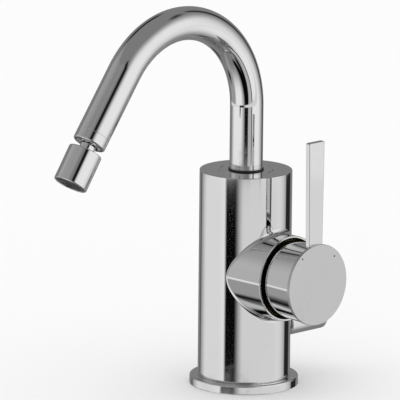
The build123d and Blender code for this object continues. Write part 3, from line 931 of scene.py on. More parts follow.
FINISHES: dict[Slot, Finish] = {
    Slot.CHROME: Finish(
        "polished_chrome", (0.80, 0.80, 0.805), (0.77, 0.77, 0.775), (0.03, 0.055), 1.0,
        Effect.SCRATCHES, 900.0, 0.004,
    ),
    Slot.SATIN: Finish(
        "satin_chrome", (0.66, 0.66, 0.665), (0.62, 0.62, 0.625), (0.30, 0.36), 1.0,
        Effect.GRAIN, 2200.0, 0.25, stretch=(1.0, 1.0, 0.04),
    ),
    # Brass turns near black deep in gaps: painted shade from the crevice mask.
    Slot.BRASS: Finish(
        "machined_brass", (0.66, 0.49, 0.25), (0.02, 0.016, 0.01), (0.26, 0.6), 1.0,
        Effect.MACHINING, 2600.0, 0.3, Effect.CREVICES,
    ),
    Slot.COPPER: Finish(
        "drawn_copper", (0.71, 0.38, 0.24), (0.45, 0.22, 0.13), (0.24, 0.42), 1.0,
        Effect.SCRATCHES, 700.0, 0.25,
    ),
    Slot.STEEL: Finish(
        "stainless_steel", (0.56, 0.56, 0.57), (0.46, 0.46, 0.47), (0.24, 0.34), 1.0,
        Effect.MACHINING, 3000.0, 0.2, Effect.EDGE_WEAR,
    ),
    Slot.CERAMIC: Finish(
        "ground_ceramic", (0.86, 0.84, 0.79), (0.78, 0.76, 0.71), (0.12, 0.2), 0.0,
        Effect.GRAIN, 2500.0, 0.1,
    ),
    Slot.HOUSING: Finish(
        "pale_plastic", (0.74, 0.74, 0.71), (0.66, 0.66, 0.63), (0.42, 0.55), 0.0,
        Effect.GRAIN, 1500.0, 0.3,
    ),
    Slot.DRIVER: Finish(
        "blue_grey_plastic", (0.10, 0.16, 0.27), (0.13, 0.19, 0.30), (0.45, 0.58), 0.0,
        Effect.GRAIN, 1400.0, 0.3,
    ),
    Slot.DARK: Finish(
        "black_plastic", (0.018, 0.018, 0.02), (0.03, 0.03, 0.032), (0.38, 0.5), 0.0,
        Effect.GRAIN, 1600.0, 0.25,
    ),
    Slot.RUBBER: Finish(
        "black_rubber", (0.02, 0.02, 0.02), (0.035, 0.035, 0.034), (0.6, 0.75), 0.0,
        Effect.GRAIN, 900.0, 0.5,
    ),
    Slot.INSERT: Finish(
        "dark_grey_plastic", (0.06, 0.06, 0.065), (0.09, 0.09, 0.095), (0.42, 0.55), 0.0,
        Effect.GRAIN, 1300.0, 0.3,
    ),
}


@dataclass
class Base:
    """Round flange that stands on the deck."""

    flange_radius: float = 29.4 * MM
    flange_height: float = 5.0 * MM
    edge: float = 1.0 * MM
    foot_edge: float = 0.3 * MM
    bore: float = 19.5 * MM
    spigot_radius: float = 22.7 * MM
    spigot_height: float = 4.0 * MM

    def build(self) -> None:
        """Turn the flange with its rounded lip."""
        spigot_top = self.flange_height + self.spigot_height
        flange = Outline(
            Bend(self.bore, 0.0),
            Bend(self.flange_radius, 0.0, self.foot_edge),
            Bend(self.flange_radius, self.flange_height, self.edge),
            Bend(self.spigot_radius, self.flange_height),
            Bend(self.spigot_radius, spigot_top),
            Bend(self.bore, spigot_top),
        )
        mount_turned("base_flange_skin", flange, Slot.CHROME, Body.MIXER, "base_flange")


@dataclass
class Column:
    """Upright body with its side sleeve, drawn into one another by a hollow saddle."""

    radius: float = 25.0 * MM
    wall: float = 2.2 * MM
    bottom: float = 5.0 * MM
    top: float = 118.0 * MM
    foot_bevel: float = 0.5 * MM
    top_edge: float = 0.4 * MM
    collar_radius: float = 14.4 * MM
    collar_bevel: float = 0.4 * MM
    ceiling: float = 113.0 * MM
    axis_height: float = 63.3 * MM
    sleeve_radius: float = 23.2 * MM
    sleeve_bore: float = 22.0 * MM
    sleeve_reach: float = 34.0 * MM
    rim_edge: float = 0.45 * MM
    saddle: float = 2.5 * MM
    saddle_steps: int = 10
    block_low: float = 30.0 * MM
    block_high: float = 100.0 * MM
    block_rows: int = 24
    block_half_steps: int = 36
    block_rings: int = 10
    key_radius: float = 2.2 * MM
    key_height: float = 110.0 * MM
    key_block: float = 2.8 * MM
    key_step: int = 32
    key_half_steps: int = 4
    key_rows: int = 4
    key_rings: int = 3

    @property
    def inner(self) -> float:
        """Radius of the inner wall."""
        return self.radius - self.wall

    def ball(self, bearing: float) -> Vector:
        """Place the ball that rolls along the saddle.

        Args:
            bearing: Bearing about the sleeve.

        Returns:
            Centre of the ball.
        """
        ring = self.sleeve_radius + self.saddle
        across, up = ring * math.sin(bearing), ring * math.cos(bearing)
        out = math.sqrt((self.radius + self.saddle) ** 2 - across**2)
        return Vector((out, across, self.axis_height + up))

    def saddle_edge(self, bearing: float) -> Spot:
        """Angle and height at which the saddle leaves the column."""
        ball = self.ball(bearing)
        return math.atan2(ball.y, ball.x), ball.z

    def bore_edge(self, bearing: float) -> Spot:
        """Angle and height at which the sleeve's bore meets the inner wall."""
        across, up = self.sleeve_bore * math.sin(bearing), self.sleeve_bore * math.cos(bearing)
        return math.asin(across / self.inner), self.axis_height + up

    def key_edge(self, radius: float) -> Edge:
        """Describe the key hole in a wall.

        Args:
            radius: Radius of the wall.

        Returns:
            Edge of the hole.
        """

        def edge(bearing: float) -> Spot:
            """Find the hole's edge.

            Args:
                bearing: Bearing from the hole's centre.

            Returns:
                Angle and height of the edge.
            """
            across = self.key_radius * math.sin(bearing)
            turn = ALL_ROUND.angle(self.key_step, radius) + math.asin(across / radius)
            return turn, self.key_height + self.key_radius * math.cos(bearing)

        return edge

    def levels(self, low: float, high: float) -> list[float]:
        """List the rows of a wall.

        Args:
            low: Height of its lower end.
            high: Height of its upper end.

        Returns:
            Heights of the rows.
        """
        middle = spread(self.block_low, self.block_high, self.block_rows)
        key_low, key_high = self.key_height - self.key_block, self.key_height + self.key_block
        return [low, *middle, *spread(key_low, key_high, self.key_rows), high]

    def windows(self, radius: float, edge: Edge) -> tuple[Window, Window]:
        """Openings of a wall for the sleeve and the key.

        Args:
            radius: Radius of the wall.
            edge: Edge of the opening towards the sleeve.

        Returns:
            The two windows.
        """
        key_low = self.block_rows + 2
        sleeve = Window(
            first=-self.block_half_steps,
            last=self.block_half_steps,
            low=1,
            high=self.block_rows + 1,
            angle=0.0,
            height=self.axis_height,
            reach=self.radius,
            edge=edge,
            rings=self.block_rings,
        )
        key = Window(
            first=self.key_step - self.key_half_steps,
            last=self.key_step + self.key_half_steps,
            low=key_low,
            high=key_low + self.key_rows,
            angle=QUARTER_TURN,
            height=self.key_height,
            reach=self.radius,
            edge=self.key_edge(radius),
            rings=self.key_rings,
        )
        return sleeve, key

    def add_saddle(self, skin: Skin, turns: Sequence[float]) -> None:
        """Add the hollow saddle, as the path of a rolling ball.

        Args:
            skin: Mesh to add to.
            turns: Bearings of the rows' points about the sleeve.
        """
        columns: list[Row] = []
        for turn in turns:
            ball = self.ball(turn)
            radial = about_sleeve(turn)
            start = Vector((ball.x, ball.y, 0.0)).normalized()
            opening = start.angle(radial)
            column: Row = []
            for share in spread(0.0, 1.0, self.saddle_steps):
                first = math.sin((1.0 - share) * opening) / math.sin(opening)
                second = math.sin(share * opening) / math.sin(opening)
                normal = start * first + radial * second
                column.append((ball - normal * self.saddle, normal))
            columns.append(column)
        skin.add_grid(list(zip(*columns)))

    def sleeve_row(
        self,
        turns: Sequence[float],
        radius: float,
        places: Sequence[float],
        across: float,
        along: float = 0.0,
    ) -> Row:
        """Row of points about the sleeve's axis.

        Args:
            turns: Bearings of the points.
            radius: Distance from the axis.
            places: Place along the axis of each point.
            across: Part of the normal away from the axis.
            along: Part of the normal along the axis.

        Returns:
            The points with their normals.
        """
        axis = Vector((0.0, 0.0, self.axis_height))
        row: Row = []
        for turn, place in zip(turns, places):
            radial = about_sleeve(turn)
            point = axis + radial * radius + Vector((place, 0.0, 0.0))
            row.append((point, radial * across + Vector((along, 0.0, 0.0))))
        return row

    def add_sleeve(self, skin: Skin, turns: Sequence[float]) -> None:
        """Add the sleeve's outside, its rim and its bore.

        Args:
            skin: Mesh to add to.
            turns: Bearings of the rows' points about the sleeve.
        """
        rim_start = self.sleeve_reach - self.rim_edge
        rim_places = [rim_start] * len(turns)
        saddle_end = [self.ball(turn).x for turn in turns]
        bore_end = [
            math.sqrt(self.inner**2 - (self.sleeve_bore * math.sin(turn)) ** 2) for turn in turns
        ]
        outside = (saddle_end, rim_places)
        skin.add_grid([self.sleeve_row(turns, self.sleeve_radius, x, 1.0) for x in outside])
        rim = Outline(
            Bend(self.sleeve_radius, rim_start),
            Bend(self.sleeve_radius, self.sleeve_reach, self.rim_edge),
            Bend(self.sleeve_bore, self.sleeve_reach, self.rim_edge),
            Bend(self.sleeve_bore, rim_start),
            closed=False,
        )
        for run in rim.runs():
            skin.add_grid(
                [
                    self.sleeve_row(turns, radius, [place] * len(turns), across, along)
                    for radius, place, across, along in run
                ]
            )
        bore = (rim_places, bore_end)
        skin.add_grid([self.sleeve_row(turns, self.sleeve_bore, x, -1.0) for x in bore])

    def add_key_hole(self, skin: Skin, turns: Sequence[float]) -> None:
        """Join the two walls round the key hole.

        Args:
            skin: Mesh to add to.
            turns: Bearings of the points round the hole.
        """
        rows: list[Row] = []
        for radius in (self.radius, self.inner):
            row: Row = []
            for turn in turns:
                radial = Vector((-math.sin(turn), 0.0, math.cos(turn))) * self.key_radius
                out = math.sqrt(radius**2 - radial.x**2)
                row.append((radial + Vector((0.0, out, self.key_height)), -radial))
            rows.append(row)
        skin.add_grid(rows)

    def build(self) -> None:
        """Build the whole shell as one closed skin."""
        skin = Skin("body_shell_skin")
        foot, shoulder = self.bottom + self.foot_bevel, self.top - self.top_edge
        for radius, low, high, edge, outward in (
            (self.radius, foot, shoulder, self.saddle_edge, True),
            (self.inner, self.bottom, self.ceiling, self.bore_edge, False),
        ):
            windows = self.windows(radius, edge)
            skin.add_wall(lambda height, r=radius: r, self.levels(low, high), windows, outward)
        levels = self.levels(self.bottom, self.top)
        sleeve, key = self.windows(self.radius, self.saddle_edge)
        sleeve_turns = sleeve.bearings(levels, ALL_ROUND)
        self.add_saddle(skin, sleeve_turns)
        self.add_sleeve(skin, sleeve_turns)
        self.add_key_hole(skin, key.bearings(levels, ALL_ROUND))
        foot_ring = Outline(
            Bend(self.inner, self.bottom),
            Bend(self.radius - self.foot_bevel, self.bottom),
            Bend(self.radius, foot),
            closed=False,
        )
        top_ring = Outline(
            Bend(self.radius, shoulder),
            Bend(self.radius, self.top, self.top_edge),
            Bend(self.collar_radius + self.collar_bevel, self.top),
            Bend(self.collar_radius, self.top - self.collar_bevel),
            Bend(self.collar_radius, self.ceiling),
            Bend(self.inner, self.ceiling),
            closed=False,
        )
        skin.add_turned(foot_ring)
        skin.add_turned(top_ring)
        skin.mount(Slot.CHROME, Body.MIXER, "body_shell")


@dataclass
class Spout:
    """Bent tube with its glide ring and end ring."""

    tube_radius: float = 9.0 * MM
    tube_wall: float = 1.0 * MM
    joint_edge: float = 0.15 * MM
    foot: float = 118.8 * MM
    bend_start: float = 153.2 * MM
    bend_radius: float = 51.0 * MM
    bend_turn: float = math.radians(143.6)
    bend_steps: int = 96
    straight: float = 37.9 * MM
    glide_radius: float = 9.6 * MM
    glide_low: float = 118.05 * MM
    glide_edge: float = 0.2 * MM
    end_length: float = 5.9 * MM
    end_edge: float = 1.0 * MM
    fit_gap: float = 0.1 * MM
    mouth_radius: float = 7.0 * MM
    mouth_edge: float = 0.4 * MM
    throat_radius: float = 5.7 * MM
    seat_radius: float = 6.7 * MM
    ball_ahead: float = 1.0 * MM

    @property
    def inner(self) -> float:
        """Radius of the tube's bore."""
        return self.tube_radius - self.tube_wall

    def middle(self, turn: float) -> Vector:
        """Point of the tube's centre line in the bend."""
        ahead = -self.bend_radius * (1.0 - math.cos(turn))
        return Vector((0.0, ahead, self.bend_start + self.bend_radius * math.sin(turn)))

    def end_seat(self) -> Seat:
        """Axis of the straight end, with height 0 at the end of the bend."""
        return Seat(self.middle(self.bend_turn), tipped(self.bend_turn), X_AXIS)

    def ball_centre(self) -> Vector:
        """Centre of the ball joint."""
        ahead = tipped(self.bend_turn) * (self.straight + self.ball_ahead)
        return self.middle(self.bend_turn) + ahead

    def add_bend(self, skin: Skin) -> None:
        """Add the outer and inner skin of the bend.

        Args:
            skin: Mesh to add to.
        """
        for radius, facing in ((self.tube_radius, 1.0), (self.inner, -1.0)):
            rows: list[Row] = []
            for turn in spread(0.0, self.bend_turn, self.bend_steps):
                over = tipped(turn).cross(X_AXIS)
                row: Row = []
                for angle in ALL_ROUND.angles(radius):
                    radial = X_AXIS * math.cos(angle) + over * math.sin(angle)
                    row.append((self.middle(turn) + radial * radius, radial * facing))
                rows.append(row)
            skin.add_grid(rows)

    def build_tube(self) -> None:
        """Build the tube from its foot round the bend to its end."""
        upright = Outline(
            Bend(self.inner, self.bend_start),
            Bend(self.inner, self.foot),
            Bend(self.tube_radius, self.foot, self.joint_edge),
            Bend(self.tube_radius, self.bend_start),
            closed=False,
        )
        straight = Outline(
            Bend(self.tube_radius, 0.0),
            Bend(self.tube_radius, self.straight, self.joint_edge),
            Bend(self.inner, self.straight),
            Bend(self.inner, 0.0),
            closed=False,
        )
        skin = Skin("spout_tube_skin")
        skin.add_turned(upright)
        self.add_bend(skin)
        skin.add_turned(straight, self.end_seat())
        skin.mount(Slot.CHROME, Body.SPOUT, "spout_tube")

    def build(self) -> None:
        """Build the tube, the glide ring and the end ring."""
        self.build_tube()
        glide_ring = Outline(
            Bend(self.inner, self.glide_low),
            Bend(self.glide_radius, self.glide_low, self.glide_edge),
            Bend(self.glide_radius, self.foot, self.glide_edge),
            Bend(self.inner, self.foot),
        )
        mount_turned("glide_ring_skin", glide_ring, Slot.DARK, Body.SPOUT, "glide_ring")

        seat_middle = self.straight + self.ball_ahead
        throat = seat_middle + math.sqrt(self.seat_radius**2 - self.throat_radius**2)
        end, spigot = self.straight + self.end_length, self.straight - self.end_length
        end_ring = Outline(
            Bend(self.seat_radius, spigot),
            Bend(self.inner - self.fit_gap, spigot),
            Bend(self.inner - self.fit_gap, self.straight),
            Bend(self.tube_radius, self.straight, self.joint_edge),
            Bend(self.tube_radius, end, self.end_edge),
            Bend(self.mouth_radius, end, self.mouth_edge),
            Bend(self.throat_radius, throat),
            Bend(self.seat_radius, seat_middle),
        )
        seat = self.end_seat()
        mount_turned("end_ring_skin", end_ring, Slot.CHROME, Body.SPOUT, "end_ring", seat=seat)


@dataclass
class Aerator:
    """Ball-jointed aerator housing at the end of the spout."""

    centre: Vector
    turn: float = math.radians(145.6)
    ball_radius: float = 6.4 * MM
    neck_radius: float = 4.3 * MM
    bore_radius: float = 2.8 * MM
    start: float = 8.8 * MM
    length: float = 20.0 * MM
    radius: float = 9.25 * MM
    mouth_radius: float = 7.9 * MM
    top_wall: float = 2.5 * MM
    top_edge: float = 0.6 * MM
    rim_edge: float = 0.7 * MM
    fit_gap: float = 0.1 * MM

    def build(self) -> None:
        """Turn the ball with its neck, and the housing."""
        ball = self.ball_radius
        lift = math.asin(math.sqrt(1.0 - (self.neck_radius / ball) ** 2))
        drop = math.acos(self.bore_radius / ball)
        neck_end = self.start + self.top_wall
        swivel_ball = Outline(
            Bend(self.bore_radius, -ball * math.sin(drop)),
            Bend(ball, -ball * math.tan(drop / 2), ball),
            Bend(ball, ball * math.tan(lift / 2), ball),
            Bend(self.neck_radius, ball * math.sin(lift)),
            Bend(self.neck_radius, neck_end),
            Bend(self.bore_radius, neck_end),
        )
        end, hole_radius = self.start + self.length, self.neck_radius + self.fit_gap
        housing = Outline(
            Bend(hole_radius, self.start),
            Bend(self.radius, self.start, self.top_edge),
            Bend(self.radius, end, self.rim_edge),
            Bend(self.mouth_radius, end, self.rim_edge / 2),
            Bend(self.mouth_radius, neck_end),
            Bend(hole_radius, neck_end),
        )
        seat = Seat(self.centre, tipped(self.turn), X_AXIS)
        for node, outline in (("swivel_ball", swivel_ball), ("aerator_housing", housing)):
            mount_turned(f"{node}_skin", outline, Slot.CHROME, Body.AERATOR, node, seat=seat)


@dataclass
class Handle:
    """Tapered hub with its face disc and upright lever."""

    axis_height: float = 63.3 * MM
    rear: float = 32.0 * MM
    front: float = 53.2 * MM
    rear_radius: float = 20.25 * MM
    front_radius: float = 21.85 * MM
    wall: float = 1.8 * MM
    web_front: float = 50.0 * MM
    web_back: float = 46.0 * MM
    boss_radius: float = 7.0 * MM
    boss_rear: float = 40.0 * MM
    edge: float = 0.5 * MM
    inner_edge: float = 0.2 * MM
    gate_half: float = 5.14 * MM
    gate_steps: int = 5
    screw_place: float = 43.0 * MM
    screw_radius: float = 2.0 * MM
    screw_block: float = 2.9 * MM
    screw_half_steps: int = 4
    screw_rows: int = 4
    screw_rings: int = 3
    face_radius: float = 22.0 * MM
    face_front: float = 54.96 * MM
    face_edge: float = 0.35 * MM
    face_rear_edge: float = 0.15 * MM
    lever_foot: float = 75.0 * MM
    lever_top: float = 141.0 * MM
    foot_width: float = 9.8 * MM
    top_width: float = 11.56 * MM
    lever_corner: float = 0.8 * MM
    lever_edge: float = 0.6 * MM
    dot_front: float = 55.0 * MM
    dot_radius: float = 0.55 * MM
    dot_depth: float = 0.2 * MM
    dot_edge: float = 0.03 * MM
    dot_steps: int = 32
    dots: dict[str, tuple[float, float]] = field(
        default_factory=lambda: {
            "cold_dot": (-12.0 * MM, 16.0 * MM),
            "warm_dot": (12.4 * MM, 14.0 * MM),
        }
    )

    def seat(self, across: float = 0.0, up: float = 0.0) -> Seat:
        """Axis along +X at the handle's height, shifted sideways if asked."""
        return Seat(Vector((0.0, across, self.axis_height + up)), X_AXIS, -Z_AXIS)

    def radius_at(self, place: float) -> float:
        """Outer radius of the hub at a place on its axis."""
        share = (place - self.rear) / (self.front - self.rear)
        return self.rear_radius + share * (self.front_radius - self.rear_radius)

    def add_screw_hole(self, skin: Skin, spin: Spin) -> None:
        """Add the two walls of the hub round the screw's hole, and the hole itself.

        Args:
            skin: Mesh to add to.
            spin: Angles of the hub's points.
        """
        low, high = self.screw_place - self.screw_block, self.screw_place + self.screw_block
        levels = spread(low, high, self.screw_rows)
        rows: list[Row] = []
        for heights, depth, outward in (
            ([self.rear + 2 * self.edge, *levels, self.web_front], 0.0, True),
            ([self.rear + self.inner_edge, *levels, self.web_back], self.wall, False),
        ):

            def wall_radius(place: float, depth: float = depth) -> float:
                """Radius of this wall."""
                return self.radius_at(place) - depth

            def edge(bearing: float) -> Spot:
                """Angle and place of the hole's edge at a bearing."""
                place = self.screw_place + self.screw_radius * math.cos(bearing)
                return math.asin(self.screw_radius * math.sin(bearing) / wall_radius(place)), place

            window = Window(
                first=-self.screw_half_steps,
                last=self.screw_half_steps,
                low=1,
                high=len(levels),
                angle=0.0,
                height=self.screw_place,
                reach=self.radius_at(self.screw_place),
                edge=edge,
                rings=self.screw_rings,
            )
            skin.add_wall(wall_radius, heights, [window], outward, self.seat(), spin)
            row: Row = []
            for turn in window.bearings(heights, spin):
                across = self.screw_radius * math.sin(turn)
                place = self.screw_place + self.screw_radius * math.cos(turn)
                down = math.sqrt(wall_radius(place) ** 2 - across**2)
                normal = Vector((-math.cos(turn), -math.sin(turn), 0.0))
                row.append((Vector((place, across, self.axis_height - down)), normal))
            rows.append(row)
        skin.add_grid(rows)

    def build_hub(self) -> None:
        """Build the hub: a cup with a gate for the lever and a screw hole below."""
        skin = Skin("handle_hub_skin")
        spin = Spin(gate_half=self.gate_half, gate_steps=self.gate_steps)
        self.add_screw_hole(skin, spin)
        rear_end, outer_end = self.rear + self.inner_edge, self.rear + 2 * self.edge
        rear_rim = (
            Bend(self.radius_at(rear_end) - self.wall, rear_end),
            Bend(self.radius_at(rear_end) - self.wall, self.rear, self.inner_edge / 2),
            Bend(self.rear_radius, self.rear, self.edge),
            Bend(self.radius_at(outer_end), outer_end),
        )
        inside = (
            Bend(0.0, self.boss_rear),
            Bend(self.boss_radius, self.boss_rear),
            Bend(self.boss_radius, self.web_back),
            Bend(self.radius_at(self.web_back) - self.wall, self.web_back),
        )
        outer_low, outer_high = self.radius_at(self.web_front), self.front_radius
        inner_low, inner_high = outer_low - self.wall, outer_high - self.wall
        web = (Bend(inner_low, self.web_front), Bend(0.0, self.web_front))
        rim = (
            Bend(outer_low, self.web_front),
            Bend(outer_high, self.front),
            Bend(inner_high, self.front),
            Bend(inner_low, self.web_front),
        )
        floor = (Bend(outer_low, self.web_front), Bend(inner_low, self.web_front))
        gate_start = spin.segments // 2 - self.gate_steps
        gate_end = spin.segments // 2 + self.gate_steps
        around = replace(spin, first=gate_end, last=gate_start + spin.segments)
        gate = replace(spin, first=gate_start, last=gate_end)
        sweeps = ((rear_rim, spin), (inside, spin), (web, spin), (rim, around), (floor, gate))
        for bends, sweep in sweeps:
            skin.add_turned(Outline(*bends, closed=False), self.seat(), sweep)
        for side in (-1.0, 1.0):
            corners: Row = []
            for bend in rim:
                up = math.sqrt(bend.radius**2 - self.gate_half**2)
                point = Vector((bend.height, side * self.gate_half, self.axis_height + up))
                corners.append((point, Vector((0.0, -side, 0.0))))
            skin.add_face(corners)
        skin.mount(Slot.CHROME, Body.HANDLE, "handle_hub")

    def build_face(self) -> None:
        """Build the satin disc and its two dots."""
        face = Outline(
            Bend(0.0, self.front),
            Bend(self.face_radius, self.front, self.face_rear_edge),
            Bend(self.face_radius, self.face_front, self.face_edge),
            Bend(0.0, self.face_front),
        )
        seat = self.seat()
        mount_turned("handle_face_skin", face, Slot.SATIN, Body.HANDLE, "handle_face", seat=seat)
        dot_back = self.dot_front - self.dot_depth
        dot = Outline(
            Bend(0.0, dot_back),
            Bend(self.dot_radius, dot_back),
            Bend(self.dot_radius, self.dot_front, self.dot_edge),
            Bend(0.0, self.dot_front),
        )
        spin = Spin(segments=self.dot_steps, last=self.dot_steps)
        for name, (across, up) in self.dots.items():
            seat = self.seat(across, up)
            mount_turned(name, dot, Slot.INSERT, Body.HANDLE, seat=seat, spin=spin)

    def build_lever(self) -> None:
        """Build the flat lever, which widens a little to its top."""
        foot, top, corner = self.foot_width / 2, self.top_width / 2, self.lever_corner
        lever = Outline(
            Bend(-foot, self.lever_foot, corner),
            Bend(foot, self.lever_foot, corner),
            Bend(top, self.lever_top, corner),
            Bend(-top, self.lever_top, corner),
        )
        skin = Skin("lever_bar_skin")
        plane = Seat(NOWHERE, X_AXIS, Y_AXIS)
        skin.add_plate(lever, plane, self.web_front, self.front, self.lever_edge)
        skin.mount(Slot.CHROME, Body.HANDLE, "lever_bar")

    def build(self) -> None:
        """Build the hub, the face with its two dots, and the lever."""
        self.build_hub()
        self.build_face()
        self.build_lever()


@dataclass
class Waste:
    """Round control at the rear, in its bush."""

    axis_height: float = 28.0 * MM
    bush_radius: float = 8.0 * MM
    bush_inner: float = 18.0 * MM
    bush_outer: float = 26.8 * MM
    bush_edge: float = 0.5 * MM
    mouth_edge: float = 0.2 * MM
    seat_radius: float = 4.9 * MM
    pivot: float = 23.5 * MM
    knob_radius: float = 7.0 * MM
    knob_inner: float = 31.0 * MM
    knob_outer: float = 58.0 * MM
    knob_edge: float = 0.8 * MM
    rod_hole_radius: float = 2.1 * MM
    rod_hole_end: float = 45.1 * MM

    def build(self) -> None:
        """Turn the bush and the knob."""
        mouth = math.sqrt(self.seat_radius**2 - (self.bush_outer - self.pivot) ** 2)
        bush = Outline(
            Bend(self.seat_radius, self.bush_inner),
            Bend(self.bush_radius, self.bush_inner),
            Bend(self.bush_radius, self.bush_outer, self.bush_edge),
            Bend(mouth, self.bush_outer, self.mouth_edge),
            Bend(self.seat_radius, self.pivot),
        )
        knob = Outline(
            Bend(0.0, self.rod_hole_end),
            Bend(self.rod_hole_radius, self.rod_hole_end),
            Bend(self.rod_hole_radius, self.knob_inner),
            Bend(self.knob_radius, self.knob_inner, self.knob_edge),
            Bend(self.knob_radius, self.knob_outer, self.knob_edge),
            Bend(0.0, self.knob_outer),
        )
        seat = Seat(Vector((0.0, 0.0, self.axis_height)), Y_AXIS, X_AXIS)
        mount_turned("waste_bush_skin", bush, Slot.CHROME, Body.MIXER, "waste_bush", seat=seat)
        mount_turned("waste_knob_skin", knob, Slot.CHROME, Body.WASTE, "waste_knob", seat=seat)


@dataclass(frozen=True)
class Panel:
    """One panel of the studio, as its reflection shows it, in degrees.

    Attributes:
        level: Brightness.
        left: Bearing of its left side, from the camera's side to the right.
        right: Bearing of its right side.
        low: Height of its lower end above the horizon.
        high: Height of its upper end.
        soft: Half the blur of its left side, right side, lower end and upper end.
        lean: How far its middle moves to the right over one degree of height.
    """

    level: float
    left: float
    right: float
    low: float
    high: float
    soft: tuple[float, float, float, float] = (2.0, 2.0, 2.0, 2.0)
    lean: float = 0.0

    def inputs(self) -> dict[str, float]:
        """List the panel's values.

        Returns:
            Values by the names of the node group's inputs.
        """
        names = ("Soft Left", "Soft Right", "Soft Low", "Soft High")
        return {
            "Level": self.level,
            "Left": self.left,
            "Right": self.right,
            "Low": self.low,
            "High": self.high,
            "Lean": self.lean,
            **dict(zip(names, self.soft)),
        }


BAND_LOW = -14.85
BAND_HIGH = -12.32
BAND_SOFT = 0.02
SEAM = -11.1
PAST_BACK = 181.0


def band_panel(
    level: float, left: float, right: float, soft_left: float = 0.0, soft_right: float = 0.0
) -> Panel:
    """Panel in the narrow band that only upright walls below the spout reflect."""
    soft = (soft_left, soft_right, BAND_SOFT, BAND_SOFT)
    return Panel(level, left, right, BAND_LOW, BAND_HIGH, soft)


